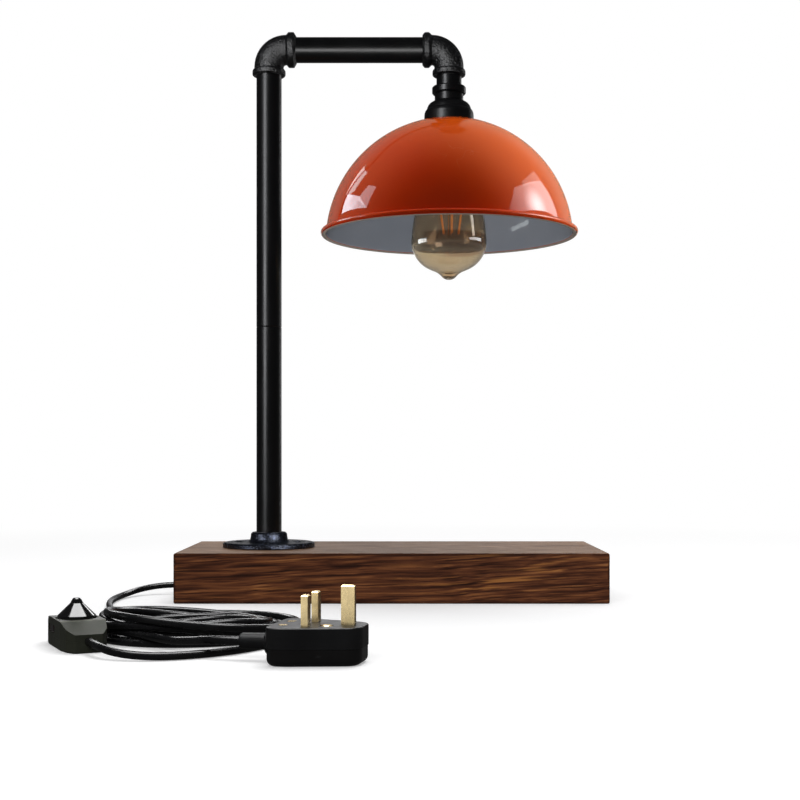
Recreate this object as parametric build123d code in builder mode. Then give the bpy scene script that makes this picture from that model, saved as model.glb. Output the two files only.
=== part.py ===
from build123d import *
import os
from math import sqrt, sin, cos, tan, radians, pi

os.makedirs("parts", exist_ok=True)

# ---------------------------------------------------------------------------
# Driving dimensions, millimetres. Origin: centre of the base board's
# underside. +Z up, the arm runs along +X, the front is towards -Y.
# ---------------------------------------------------------------------------
BASE_L, BASE_W, BASE_H = 348.0, 150.0, 40.0
XU = -104.8            # upright axis
XH = 48.4              # lamp head axis
ZP = 463.0             # centreline of the horizontal pipe
PIPE_R, PIPE_WALL = 10.65, 2.6
FIT = 0.05             # running clearance of the two turning joints
Z_SEAM = 227.0         # joint between the two upright pipes
Z_PIPE0 = 41.0         # foot of the lower pipe, inside the flange
SOCKET = 10.0          # depth of pipe in an elbow socket

ELBOW_R = 12.45        # outside radius of an elbow's body
ELBOW_BEND = 14.7
ELBOW_BORE = 8.0
V_FACE = 22.2          # elbow centre to the face of its vertical leg
CORNER_H, HEAD_H = 23.2, 22.6
BEAD_R_H, BEAD_R_V, BEAD_V = 14.7, 14.05, 5.7

FLANGE_R, FLANGE_T, BOSS_R, BOSS_H = 39.0, 4.5, 15.4, 13.0
FLANGE_PCD = 50.0

Z_DOME, R_DOME, T_SHADE = 298.4, 105.0, 0.8
R_SHADE_HOLE = 20.0
R_BEAD, RIM_R, RIM_Z = 2.5, 106.6, 306.7

Z_TIP, Z_CONTACT = 267.4, 407.4
CORD_R = 2.5
Z_EXIT = 8.0           # height of the flex where it leaves the base
FLOOR_Z = CORD_R + 0.1

COIL_X, COIL_Y = -128.0, -262.0
COIL_RO, COIL_RI, COIL_H = 62.0, 31.0, 16.0

DIM_X, DIM_Y, DIM_H = -194.0, -309.0, 18.0
DIM_SPLIT, DIM_HALF = 7.0, 33.0
PLUG_X, PLUG_Y, PLUG_TURN = -40.0, -372.0, -12.0
PLUG_SPLIT, PLUG_H = 10.0, 22.0
Z_CORD = 11.0          # height of the flex where it enters the plug
X_SLEEVE = -47.0       # outer end of the plug's sleeve, along the plug


def upright_plane(x, y=0.0):
    """Plane whose local x is the radius and local y the height, on the vertical axis at x, y."""
    return Plane(origin=(x, y, 0), x_dir=(1, 0, 0), z_dir=(0, -1, 0))


def lathe(name, x, points, y=0.0):
    """A turned piece: a closed outline of (radius, height) points about a vertical axis."""
    with BuildPart() as p:
        with BuildSketch(upright_plane(x, y)):
            with BuildLine():
                Polyline(*points, close=True)
            make_face()
        revolve(axis=Axis((x, y, 0), (0, 0, 1)))
    p.part.label = name
    return p


made = []


def keep(p, name):
    p.part.label = name
    export_step(p.part, f"parts/{name}.step")
    made.append(name)


# ---------------------------------------------------------------------------
# Base board: solid wood, with the wiring pocket cut into its underside
# ---------------------------------------------------------------------------
SCREW_SPOTS = [(XU + FLANGE_PCD / 2, 0), (XU, FLANGE_PCD / 2), (XU - FLANGE_PCD / 2, 0), (XU, -FLANGE_PCD / 2)]
CLAMP_X = -140.0
COVER_X = -118.0
COVER_SCREWS = [(COVER_X - 15.0, 23.5), (COVER_X + 15.0, 23.5), (COVER_X - 15.0, -23.5), (COVER_X + 15.0, -23.5)]
CLAMP_SCREWS = [(CLAMP_X, 8.8), (CLAMP_X, -8.8)]

with BuildPart() as base_board:
    with BuildSketch(Plane.XY):
        RectangleRounded(BASE_L, BASE_W, 3.0)
    extrude(amount=BASE_H)
    chamfer(base_board.faces().sort_by(Axis.Z)[-1].edges(), 1.0)
    chamfer(base_board.faces().sort_by(Axis.Z)[0].edges(), 0.8)
    with BuildSketch(Plane.XY.offset(BASE_H + 1)):
        with Locations((XU, 0)):
            Circle(9.0)
    extrude(amount=-(BASE_H - 26), mode=Mode.SUBTRACT)
    with BuildSketch(Plane.XY.offset(-1)):
        with Locations((COVER_X, 0)):
            SlotOverall(86, 57)
    extrude(amount=4.0, mode=Mode.SUBTRACT)
    with BuildSketch(Plane.XY.offset(2)):
        with Locations((COVER_X + 1.0, 0)):
            SlotOverall(64, 38)
    extrude(amount=8.6, mode=Mode.SUBTRACT)
    with BuildSketch(Plane.XY.offset(2)):
        with Locations((XU, 0)):
            Circle(18.5)
    extrude(amount=26, mode=Mode.SUBTRACT)
    with BuildSketch(Plane.YZ.offset(-BASE_L / 2 - 1)):
        with Locations((0, Z_EXIT)):
            Circle(3.6)
    extrude(amount=30, mode=Mode.SUBTRACT)
    with BuildSketch(Plane.YZ.offset(-BASE_L / 2 - 1)):
        with Locations((0, Z_EXIT)):
            Circle(5.5)
    extrude(amount=9, mode=Mode.SUBTRACT)
    with BuildSketch(Plane.XY.offset(BASE_H + 1)):
        with Locations(*SCREW_SPOTS):
            Circle(2.05)
    extrude(amount=-22, mode=Mode.SUBTRACT)
    with BuildSketch(Plane.XY.offset(2)):
        with Locations(*CLAMP_SCREWS, *COVER_SCREWS):
            Circle(1.45)
    extrude(amount=17, mode=Mode.SUBTRACT)
keep(base_board, "base_board")

with BuildPart() as pocket_cover:
    with BuildSketch(Plane.XY.offset(0.5)):
        with Locations((COVER_X, 0)):
            SlotOverall(85.2, 56.2)
        with Locations(*COVER_SCREWS):
            Circle(1.6, mode=Mode.SUBTRACT)
    extrude(amount=2.4)
    with BuildSketch(Plane.XY.offset(0.5)):
        with Locations(*COVER_SCREWS):
            Circle(3.0)
    extrude(amount=1.0, mode=Mode.SUBTRACT)
keep(pocket_cover, "pocket_cover")

with BuildPart() as pocket_cover_screws:
    for sx, sy in COVER_SCREWS:
        with BuildSketch(Plane.XY.offset(0.6)):
            with Locations((sx, sy)):
                Circle(2.9)
        extrude(amount=0.9)
        with BuildSketch(Plane.XY.offset(1.4)):
            with Locations((sx, sy)):
                Circle(1.4)
        extrude(amount=13)
        with BuildSketch(Plane.XY.offset(0.6)):
            with Locations((sx, sy)):
                Rectangle(4.0, 0.7)
                Rectangle(0.7, 4.0)
        extrude(amount=0.5, mode=Mode.SUBTRACT)
keep(pocket_cover_screws, "pocket_cover_screws")

with BuildPart() as cord_clamp:
    with BuildSketch(Plane.XY.offset(3.6)):
        with Locations((CLAMP_X, 0)):
            RectangleRounded(7.6, 24, 2)
        with Locations(*CLAMP_SCREWS):
            Circle(1.6, mode=Mode.SUBTRACT)
    extrude(amount=1.9)
    with BuildSketch(Plane.XY.offset(5.4)):
        with Locations((CLAMP_X, 4.6), (CLAMP_X, -4.6)):
            Rectangle(7.0, 3.4)
    extrude(amount=2.4)
keep(cord_clamp, "cord_clamp")

with BuildPart() as cord_clamp_screws:
    with BuildSketch(Plane.XY.offset(3.05)):
        with Locations(*CLAMP_SCREWS):
            Circle(2.6)
    extrude(amount=0.55)
    with BuildSketch(Plane.XY.offset(3.5)):
        with Locations(*CLAMP_SCREWS):
            Circle(1.4)
    extrude(amount=12)
keep(cord_clamp_screws, "cord_clamp_screws")

with BuildPart() as exit_bush:
    with BuildSketch(Plane.YZ.offset(-BASE_L / 2)):
        with Locations((0, Z_EXIT)):
            Circle(5.45)
            Circle(CORD_R + 0.05, mode=Mode.SUBTRACT)
    extrude(amount=7.9)
    chamfer(exit_bush.faces().sort_by(Axis.X)[0].edges().sort_by(SortBy.LENGTH)[-1], 0.5)
    with BuildSketch(Plane.YZ.offset(-BASE_L / 2 + 7.5)):
        with Locations((0, Z_EXIT)):
            Circle(3.55)
            Circle(CORD_R + 0.05, mode=Mode.SUBTRACT)
    extrude(amount=9.0)
keep(exit_bush, "exit_bush")

# ---------------------------------------------------------------------------
# Floor flange and its wood screws
# ---------------------------------------------------------------------------
Z0 = BASE_H
with BuildPart() as floor_flange:
    with BuildSketch(upright_plane(XU)):
        with BuildLine():
            Polyline(
                (PIPE_R + 0.02, Z0), (FLANGE_R - 0.6, Z0), (FLANGE_R, Z0 + 0.8), (FLANGE_R, Z0 + 3.2),
                (FLANGE_R - 0.9, Z0 + FLANGE_T - 0.3), (FLANGE_R - 2.2, Z0 + FLANGE_T), (19.5, Z0 + FLANGE_T),
                (17.2, Z0 + FLANGE_T + 0.6), (16.0, Z0 + FLANGE_T + 2.2), (BOSS_R + 0.1, Z0 + FLANGE_T + 4.6),
                (BOSS_R - 0.1, Z0 + BOSS_H - 1.6), (BOSS_R - 1.3, Z0 + BOSS_H - 0.2), (BOSS_R - 2.2, Z0 + BOSS_H),
                (PIPE_R + 0.8, Z0 + BOSS_H), (PIPE_R + 0.02, Z0 + BOSS_H - 0.8), close=True,
            )
        make_face()
    revolve(axis=Axis((XU, 0, 0), (0, 0, 1)))
    for sx, sy in SCREW_SPOTS:
        with BuildSketch(Plane(origin=(sx, sy, 0), x_dir=(1, 0, 0), z_dir=(0, -1, 0))):
            with BuildLine():
                Polyline((0, Z0 - 1), (2.4, Z0 - 1), (2.4, Z0 + 1.6), (4.6, Z0 + 3.9), (4.6, Z0 + 6), (0, Z0 + 6), close=True)
            make_face()
        revolve(axis=Axis((sx, sy, 0), (0, 0, 1)), mode=Mode.SUBTRACT)
keep(floor_flange, "floor_flange")

with BuildPart() as flange_screws:
    for k, (sx, sy) in enumerate(SCREW_SPOTS):
        with BuildSketch(Plane(origin=(sx, sy, 0), x_dir=(1, 0, 0), z_dir=(0, -1, 0))):
            with BuildLine():
                Polyline((0, Z0 - 19), (2.0, Z0 - 16), (2.0, Z0 + 1.6), (4.15, Z0 + 3.8), (3.4, Z0 + 4.6), (1.8, Z0 + 5.0), (0, Z0 + 5.1), close=True)
            make_face()
        revolve(axis=Axis((sx, sy, 0), (0, 0, 1)))
        with BuildSketch(Plane.XY.offset(Z0 + 3.4)):
            with Locations(Location((sx, sy, 0), (0, 0, 20 + 37 * k))):
                Rectangle(5.0, 1.0)
                Rectangle(1.0, 5.0)
        extrude(amount=3, mode=Mode.SUBTRACT)
keep(flange_screws, "flange_screws")

# ---------------------------------------------------------------------------
# Upright pipes, threaded nipple inside their seam
# ---------------------------------------------------------------------------
RI = PIPE_R - PIPE_WALL
C = 0.45
lower_pipe = lathe("lower_pipe", XU, [
    (RI, Z_PIPE0), (PIPE_R - 0.6, Z_PIPE0), (PIPE_R, Z_PIPE0 + 0.8), (PIPE_R, Z_SEAM - C), (PIPE_R - C, Z_SEAM), (RI, Z_SEAM)])
keep(lower_pipe, "lower_pipe")
upper_pipe = lathe("upper_pipe", XU, [
    (RI, Z_SEAM), (PIPE_R - C, Z_SEAM), (PIPE_R, Z_SEAM + C), (PIPE_R, ZP - V_FACE + SOCKET - 0.8),
    (PIPE_R - 0.6, ZP - V_FACE + SOCKET), (RI, ZP - V_FACE + SOCKET)])
keep(upper_pipe, "upper_pipe")
joining_nipple = lathe("joining_nipple", XU, [
    (5.4, Z_SEAM - 25), (RI - 0.5, Z_SEAM - 25), (RI - 0.02, Z_SEAM - 24), (RI - 0.02, Z_SEAM + 24), (RI - 0.5, Z_SEAM + 25), (5.4, Z_SEAM + 25)])
keep(joining_nipple, "joining_nipple")


# ---------------------------------------------------------------------------
# Elbows: malleable iron, a rolled bead at each mouth, a socket at each end
# ---------------------------------------------------------------------------
def elbow(name, x, side, h_face, lip, fit_v, fit_h):
    """side +1: the level leg points to +X, -1: to -X. lip: (depth, radius) corners of the level
    leg's bead from its face inwards, with their roundings. fit_v, fit_h: radial room in the sockets."""
    with BuildPart() as p:
        with BuildLine() as path:
            FilletPolyline((x, 0, ZP - V_FACE + 1), (x, 0, ZP), (x + side * (h_face - 1), 0, ZP), radius=ELBOW_BEND)
        with BuildSketch(Plane(origin=(x, 0, ZP - V_FACE + 1), x_dir=(1, 0, 0), z_dir=(0, 0, 1))):
            Circle(ELBOW_R)
        sweep(path=path.wires()[0])
        # bead round the mouth of the vertical leg
        with BuildSketch(upright_plane(x)):
            with BuildLine():
                FilletPolyline((6, ZP - V_FACE), (BEAD_R_V, ZP - V_FACE), (BEAD_R_V, ZP - V_FACE + BEAD_V), (6, ZP - V_FACE + BEAD_V), radius=[1.4, 2.3])
                Line((6, ZP - V_FACE + BEAD_V), (6, ZP - V_FACE))
            make_face()
        revolve(axis=Axis((x, 0, 0), (0, 0, 1)))
        # bead round the mouth of the level leg
        xa, xb = x + side * h_face, x + side * (h_face - lip[-1][0])
        with BuildSketch(Plane(origin=(0, 0, ZP), x_dir=(1, 0, 0), z_dir=(0, -1, 0))):
            with BuildLine():
                FilletPolyline((xa, 6), *[(xa - side * d, r) for d, r, _ in lip], (xb, 6), radius=[w for _, _, w in lip])
                Line((xb, 6), (xa, 6))
            make_face()
        revolve(axis=Axis((0, 0, ZP), (1, 0, 0)))
        # passage
        with BuildLine() as bore:
            FilletPolyline((x, 0, ZP - V_FACE - 2), (x, 0, ZP), (x + side * (h_face + 2), 0, ZP), radius=ELBOW_BEND)
        with BuildSketch(Plane(origin=(x, 0, ZP - V_FACE - 2), x_dir=(1, 0, 0), z_dir=(0, 0, 1))):
            Circle(ELBOW_BORE)
        sweep(path=bore.wires()[0], mode=Mode.SUBTRACT)
        # sockets
        with BuildSketch(Plane.XY.offset(ZP - V_FACE - 1)):
            with Locations((x, 0)):
                Circle(PIPE_R + fit_v)
        extrude(amount=SOCKET + 1.2, mode=Mode.SUBTRACT)
        with BuildSketch(Plane(origin=(xa + side, 0, ZP), x_dir=(0, 1, 0), z_dir=(-side, 0, 0))):
            Circle(PIPE_R + fit_h)
        extrude(amount=SOCKET + 1.2, mode=Mode.SUBTRACT)
    p.part.label = name
    return p


corner_elbow = elbow("corner_elbow", XU, 1, CORNER_H, [(0, 11.5, 0.4), (2.0, BEAD_R_H, 0.9), (6.4, BEAD_R_H, 0.9), (8.4, 12.4, 0.3)], FIT, 0.02)
keep(corner_elbow, "corner_elbow")
head_elbow = elbow("head_elbow", XH, -1, HEAD_H, [(0, 12.4, 0.6), (1.9, BEAD_R_H, 1.7), (5.6, BEAD_R_H, 1.7), (8.0, 12.4, 0.3)], 0.02, FIT)
keep(head_elbow, "head_elbow")

AX0, AX1 = XU + CORNER_H - SOCKET, XH - HEAD_H + SOCKET
with BuildPart() as arm_pipe:
    with BuildSketch(Plane(origin=(0, 0, ZP), x_dir=(1, 0, 0), z_dir=(0, -1, 0))):
        with BuildLine():
            Polyline((AX0, RI), (AX0, PIPE_R - 0.6), (AX0 + 0.8, PIPE_R), (AX1 - 0.8, PIPE_R), (AX1, PIPE_R - 0.6), (AX1, RI), close=True)
        make_face()
    revolve(axis=Axis((0, 0, ZP), (1, 0, 0)))
keep(arm_pipe, "arm_pipe")

# ---------------------------------------------------------------------------
# Head: nipple, stepped collar, bell cup
# ---------------------------------------------------------------------------
drop_nipple = lathe("drop_nipple", XH, [
    (RI, 423.2), (PIPE_R - 0.6, 423.2), (PIPE_R, 424.0), (PIPE_R, ZP - V_FACE + SOCKET - 0.8), (PIPE_R - 0.6, ZP - V_FACE + SOCKET), (RI, ZP - V_FACE + SOCKET)])
keep(drop_nipple, "drop_nipple")
stepped_collar = lathe("stepped_collar", XH, [
    (3.4, 414.6), (5.0, 414.6), (5.0, 418.7), (11.6, 418.7), (12.15, 419.3), (12.15, 425.5), (13.7, 425.5), (14.35, 426.3), (14.35, 430.6),
    (13.6, 431.5), (PIPE_R + 0.9, 431.5), (PIPE_R + 0.02, 430.6), (PIPE_R + 0.02, 423.2), (6.0, 423.2), (3.4, 421.0)])
keep(stepped_collar, "stepped_collar")
holder_cup = lathe("holder_cup", XH, [
    (5.05, 418.7), (12.8, 418.7), (14.6, 418.2), (16.4, 417.0), (17.7, 415.4), (18.5, 413.6), (19.0, 412.0), (20.2, 410.5), (20.8, 408.8), (21.0, 406.6),
    (21.0, 401.6), (19.6, 401.6), (19.5, 406.6), (19.3, 408.6), (18.6, 410.0), (17.5, 411.6), (17.0, 413.4), (16.3, 414.8), (15.2, 416.1), (12.6, 417.2), (5.05, 417.2)])
keep(holder_cup, "holder_cup")

# ---------------------------------------------------------------------------
# E27 lampholder, hanging in the cup and through the shade's top hole
# ---------------------------------------------------------------------------
holder_body = lathe("holder_body", XH, [
    (14.6, 379.2), (15.4, 378.0), (18.4, 378.0), (19.0, 378.8), (19.0, 402.6), (16.8, 403.2), (16.8, 412.2), (16.0, 413.0), (4.0, 413.0), (4.0, 411.6), (14.6, 411.6)])
keep(holder_body, "holder_body")
with BuildPart() as shade_ring:
    with BuildSketch(upright_plane(XH)):
        with BuildLine():
            Polyline((19.05, 393.0), (25.0, 393.0), (25.8, 393.9), (25.8, 398.0), (24.6, 399.4), (19.05, 399.4), close=True)
        make_face()
    revolve(axis=Axis((XH, 0, 0), (0, 0, 1)))
    with BuildSketch(Plane.XY.offset(392.4)):
        with Locations((XH, 0)):
            with PolarLocations(26.4, 12):
                Circle(1.3)
    extrude(amount=5.2, mode=Mode.SUBTRACT)
keep(shade_ring, "shade_ring")
with BuildPart() as contact_block:
    with BuildSketch(Plane.XY.offset(408.9)):
        with Locations((XH, 0)):
            Circle(14.5)
            with Locations((8.6, 0), (-8.6, 0)):
                Circle(1.55, mode=Mode.SUBTRACT)
    extrude(amount=2.6)
keep(contact_block, "contact_block")
screw_shell = lathe("screw_shell", XH, [
    (13.45, 382.4), (13.95, 382.0), (14.1, 383), (13.95, 384), (14.1, 386), (13.95, 388), (14.1, 390), (13.95, 392), (14.1, 394), (13.95, 396), (14.1, 398),
    (13.95, 400), (14.1, 402), (13.95, 404), (13.95, 408.9), (13.45, 408.9)])
keep(screw_shell, "screw_shell")
with BuildPart() as centre_contact:
    with BuildSketch(Plane(origin=(XH, 2.5, 0), x_dir=(1, 0, 0), z_dir=(0, -1, 0))):
        with BuildLine():
            Polyline((-7.0, 408.9), (-7.0, 408.4), (-3.0, 407.55), (3.0, 407.5), (3.0, 408.0), (-2.6, 408.1), (-5.4, 408.9), close=True)
        make_face()
    extrude(amount=5)
keep(centre_contact, "centre_contact")
with BuildPart() as terminal_screws:
    for dx in (8.6, -8.6):
        with BuildSketch(Plane.XY.offset(409.0)):
            with Locations((XH + dx, 0)):
                Circle(1.5)
        extrude(amount=2.5)
keep(terminal_screws, "terminal_screws")

# ---------------------------------------------------------------------------
# Shade: one spun dome with a rolled rim
# ---------------------------------------------------------------------------
RI_D = R_DOME - T_SHADE


def on(r, rr):
    return (rr, Z_DOME + sqrt(r * r - rr * rr))


with BuildPart() as shade:
    with BuildSketch(upright_plane(XH)):
        with BuildLine():
            a, m, b = on(R_DOME, R_SHADE_HOLE), (R_DOME * cos(radians(45)), Z_DOME + R_DOME * sin(radians(45))), (sqrt(R_DOME**2 - 8.3**2), RIM_Z)
            ai, mi, bi = on(RI_D, R_SHADE_HOLE), (RI_D * cos(radians(45)), Z_DOME + RI_D * sin(radians(45))), (sqrt(RI_D**2 - 8.3**2), RIM_Z)
            ThreePointArc(a, m, b)
            Line(b, bi)
            ThreePointArc(bi, mi, ai)
            Line(ai, a)
        make_face()
        with Locations((RIM_R, RIM_Z)):
            Circle(R_BEAD)
    revolve(axis=Axis((XH, 0, 0), (0, 0, 1)))
keep(shade, "shade")

# ---------------------------------------------------------------------------
# Bulb: ST64 envelope with a nipple tip, E27 cap
# ---------------------------------------------------------------------------
OUT = [(0.0, Z_TIP), (2.4, 267.9), (4.5, 269.2), (6.9, 271.4), (11.1, 274.3), (16.3, 277.3), (21.4, 280.5), (25.1, 283.6), (28.0, 286.8), (30.1, 290.1), (31.5, 294.0), (32.0, 298.6),
       (31.5, 307.0), (30.3, 317.0), (28.5, 328.0), (25.9, 339.5), (22.6, 351.0), (19.1, 361.5), (16.2, 369.5), (14.1, 376.5), (13.2, 380.5), (12.6, 383.2)]
INN = [(0.0, Z_TIP + 2.0), (2.2, 269.7), (3.9, 270.6), (6.3, 272.5), (10.6, 275.3), (15.8, 278.3), (20.8, 281.4), (24.3, 284.4), (27.1, 287.4), (29.1, 290.5), (30.5, 294.2), (31.0, 298.7),
       (30.5, 306.9), (29.3, 316.8), (27.5, 327.7), (24.9, 339.1), (21.6, 350.6), (18.1, 361.1), (15.2, 369.1), (13.1, 376.1), (12.2, 380.2), (11.6, 383.2)]
with BuildPart() as bulb_glass:
    with BuildSketch(upright_plane(XH)):
        with BuildLine():
            Spline(*OUT)
            Polyline((12.6, 383.2), (12.6, 386.5), (11.6, 386.5), (11.6, 383.2))
            Spline(*reversed(INN))
            Line((0.0, Z_TIP + 2.0), (0.0, Z_TIP))
        make_face()
    revolve(axis=Axis((XH, 0, 0), (0, 0, 1)))
keep(bulb_glass, "bulb_glass")

bulb_cap = lathe("bulb_cap", XH, [
    (12.75, 383.4), (13.0, 383.4), (13.2, 384.2), (13.2, 385.6), (12.95, 387.4), (13.2, 389.2), (12.95, 391.0), (13.2, 392.8), (12.95, 394.6), (13.2, 396.4), (12.95, 398.2),
    (13.0, 399.6), (12.4, 401.6), (10.6, 402.6), (10.0, 402.6), (11.6, 401.2), (12.4, 399.0), (12.4, 396.0), (12.7, 390.0)])
keep(bulb_cap, "bulb_cap")
bulb_insulator = lathe("bulb_insulator", XH, [
    (0, 401.4), (9.6, 401.4), (9.95, 402.6), (10.55, 402.65), (7.4, 405.4), (5.2, 405.9), (4.9, 405.9), (0, 405.9)])
keep(bulb_insulator, "bulb_insulator")
bulb_contact = lathe("bulb_contact", XH, [(0, 405.9), (4.6, 405.9), (4.6, 406.6), (3.4, 407.2), (0, Z_CONTACT)])
keep(bulb_contact, "bulb_contact")
bulb_stem = lathe("bulb_stem", XH, [
    (0, 303.0), (1.4, 303.6), (1.5, 352.0), (3.4, 356.0), (4.2, 362.0), (4.4, 372.0), (6.5, 380.0), (11.5, 385.9), (9.6, 386.4), (4.0, 385.0), (2.0, 384.0), (0, 384.0)])
keep(bulb_stem, "bulb_stem")

N_FIL = 4
FIL_R_TOP, FIL_R_LOW, FIL_Z0, FIL_Z1 = 11.6, 6.3, 306.5, 346.0
FIL_X = XH + 1.8       # the cage of filaments stands a little off the bulb's axis
with BuildPart() as bulb_filaments:
    for k in range(N_FIL):
        t = radians(4 + 90 * k)
        lo = Vector(FIL_X + FIL_R_LOW * cos(t), FIL_R_LOW * sin(t), FIL_Z0)
        hi = Vector(FIL_X + FIL_R_TOP * cos(t), FIL_R_TOP * sin(t), FIL_Z1)
        with BuildSketch(Plane(origin=lo, z_dir=hi - lo)):
            Circle(0.9)
        extrude(amount=(hi - lo).length)
keep(bulb_filaments, "bulb_filaments")

with BuildPart() as bulb_support_wires:
    for k in range(N_FIL):
        t = radians(4 + 90 * k)
        for r_f, z_f, r_s, z_s in ((FIL_R_LOW, FIL_Z0 - 0.2, 1.6, 304.3), (FIL_R_TOP, FIL_Z1 + 0.2, 1.65, 350.6)):
            a = Vector(XH + r_s * cos(t), r_s * sin(t), z_s)
            b = Vector(FIL_X + r_f * cos(t), r_f * sin(t), z_f)
            up = Vector(0, 0, -0.9 if z_f < 320 else 0.9)
            with BuildSketch(Plane(origin=a, z_dir=(b + up) - a)):
                Circle(0.25)
            extrude(amount=(b + up - a).length)
            with BuildSketch(Plane(origin=b + up * 1.25, z_dir=up * -1)):
                Circle(0.3)
            extrude(amount=1.1)
keep(bulb_support_wires, "bulb_support_wires")

# ---------------------------------------------------------------------------
# Flex held inside the lamp, one length in each body; the lengths meet on the
# axes of the two turning joints
# ---------------------------------------------------------------------------
Z_CUT, X_CUT = 436.0, 18.0


def held_flex(name, pts, radius):
    with BuildPart() as p:
        with BuildLine() as path:
            FilletPolyline(*pts, radius=radius)
        a, b = Vector(*pts[0]), Vector(*pts[1])
        with BuildSketch(Plane(origin=a, z_dir=b - a)):
            Circle(CORD_R)
        sweep(path=path.wires()[0])
    p.part.label = name
    return p


flex_upright = held_flex("flex_upright", [(-BASE_L / 2, 0, Z_EXIT), (XU, 0, Z_EXIT), (XU, 0, Z_CUT)], 16.5)
keep(flex_upright, "flex_upright")
flex_arm = held_flex("flex_arm", [(XU, 0, Z_CUT + 0.05), (XU, 0, ZP), (X_CUT, 0, ZP)], ELBOW_BEND)
keep(flex_arm, "flex_arm")
flex_head = held_flex("flex_head", [(X_CUT + 0.05, 0, ZP), (XH, 0, ZP), (XH, 0, 411.7)], ELBOW_BEND)
keep(flex_head, "flex_head")


# ---------------------------------------------------------------------------
# Free flex: straight runs joined by tangent arcs
# ---------------------------------------------------------------------------
def cord_tube(name, pts):
    v = [Vector(*p) for p in pts]
    radii = []
    for a, b, c in zip(v, v[1:], v[2:]):
        turn = (b - a).get_angle(c - b)
        radii.append(0.45 * min((b - a).length, (c - b).length) / tan(radians(turn) / 2))
    with BuildPart() as p:
        with BuildLine() as path:
            FilletPolyline(*pts, radius=radii)
        with BuildSketch(Plane(origin=v[0], z_dir=v[1] - v[0])):
            Circle(CORD_R)
        sweep(path=path.wires()[0])
    length = path.wires()[0].length
    print(f"{name}: length {length:.1f}, radii {min(radii):.1f} to {max(radii):.1f}, volume / (section x length) {p.part.volume / (pi * CORD_R**2 * length):.4f}")
    print("   radii", [round(r, 1) for r in radii])
    print("   lowest", round(p.part.bounding_box().min.Z, 3))
    p.part.label = name
    return p


F = FLOOR_Z
LAMP_RUN = [(-174, 0, Z_EXIT), (-193, 0, Z_EXIT), (-211.5, -11, 5.6), (-221, -33, 3.0), (-224, -61, F), (-221, -93, F), (-213, -125, F),
            (-203, -154, 2.9), (-194, -178, 6.0), (-188, -197, 9.3), (-184.5, -215, 9.6), (-183, -239, 8.2)]
DIM_IN_RUN = [(-141, -204, 7.6), (-165, -196.5, 6.2), (-189, -203, 3.0), (-208, -221, F), (-217.5, -243, 4.2), (-215.56, -265.0, DIM_SPLIT), (-208.52, -279.37, DIM_SPLIT)]
DIM_OUT_RUN = [(-179.48, -338.63, DIM_SPLIT), (-172.9, -352.1, DIM_SPLIT), (-159.5, -364.6, 4.2), (-138, -369, F), (-116, -363, F), (-96, -349, F), (-79, -328, F),
               (-66, -300, F), (-60, -268, F), (-64, -237, F), (-78, -211, F), (-100, -200, F), (-124, -203, F)]
PLUG_RUN = [(-163, -306, 8.0), (-147, -318.5, 7.4), (-132, -332, 6.8), (-118.5, -346, 8.6), (-104.07, -358.38, Z_CORD), (-85.97, -362.23, Z_CORD)]
cord_lamp_run = cord_tube("cord_lamp_run", LAMP_RUN)
keep(cord_lamp_run, "cord_lamp_run")
cord_dimmer_in = cord_tube("cord_dimmer_in", DIM_IN_RUN)
keep(cord_dimmer_in, "cord_dimmer_in")
cord_dimmer_out = cord_tube("cord_dimmer_out", DIM_OUT_RUN)
keep(cord_dimmer_out, "cord_dimmer_out")
cord_plug_run = cord_tube("cord_plug_run", PLUG_RUN)
keep(cord_plug_run, "cord_plug_run")

with BuildPart() as cord_coil:
    with BuildSketch(Plane.XY):
        with Locations((COIL_X, COIL_Y)):
            Ellipse(COIL_RO + 2, COIL_RO - 2, rotation=15)
            Ellipse(COIL_RI + 3, COIL_RI - 3, rotation=15, mode=Mode.SUBTRACT)
    extrude(amount=COIL_H)
    fillet(cord_coil.edges(), 2.4)
keep(cord_coil, "cord_coil")

# ---------------------------------------------------------------------------
# In-line dimmer. Local x runs along the flex, local y across, z up.
# ---------------------------------------------------------------------------
DP = Plane(origin=(DIM_X, DIM_Y, 0), x_dir=(0.44, -0.898, 0), z_dir=(0, 0, 1))
DIM_SCREWS = [(-25.0, 6.4), (25.0, -6.4)]
DIM_SLOPE_X, DIM_SLOPE_Z = 16.5, 11.2
KNOB_R, WELL_R = 11.8, 12.8


def dim_pts(w=0.0):
    """The casing's plan, narrowed towards both ends, drawn in by w."""
    e = DIM_HALF - w
    right = [(e, -(8.6 - w)), (e, 8.6 - w), (26.5, 12.3 - w), (16.5, 14.0 - w)]
    left = [(-16.5, 14.0 - w), (-26.5, 12.3 - w), (-e, 8.6 - w), (-e, -(8.6 - w))]
    return right + left + [(-26.5, -(12.3 - w)), (-16.5, -(14.0 - w)), (16.5, -(14.0 - w)), (26.5, -(12.3 - w))]


def across(x, y, z):
    """Plane across the casing at x: it looks along the flex."""
    return Plane(origin=DP.from_local_coords(Vector(x, y, z)), x_dir=DP.y_dir, z_dir=DP.x_dir)


def along(x, y, z):
    """Plane along the casing at y: its local y runs down."""
    return Plane(origin=DP.from_local_coords(Vector(x, y, z)), x_dir=DP.x_dir, z_dir=DP.y_dir)


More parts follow.
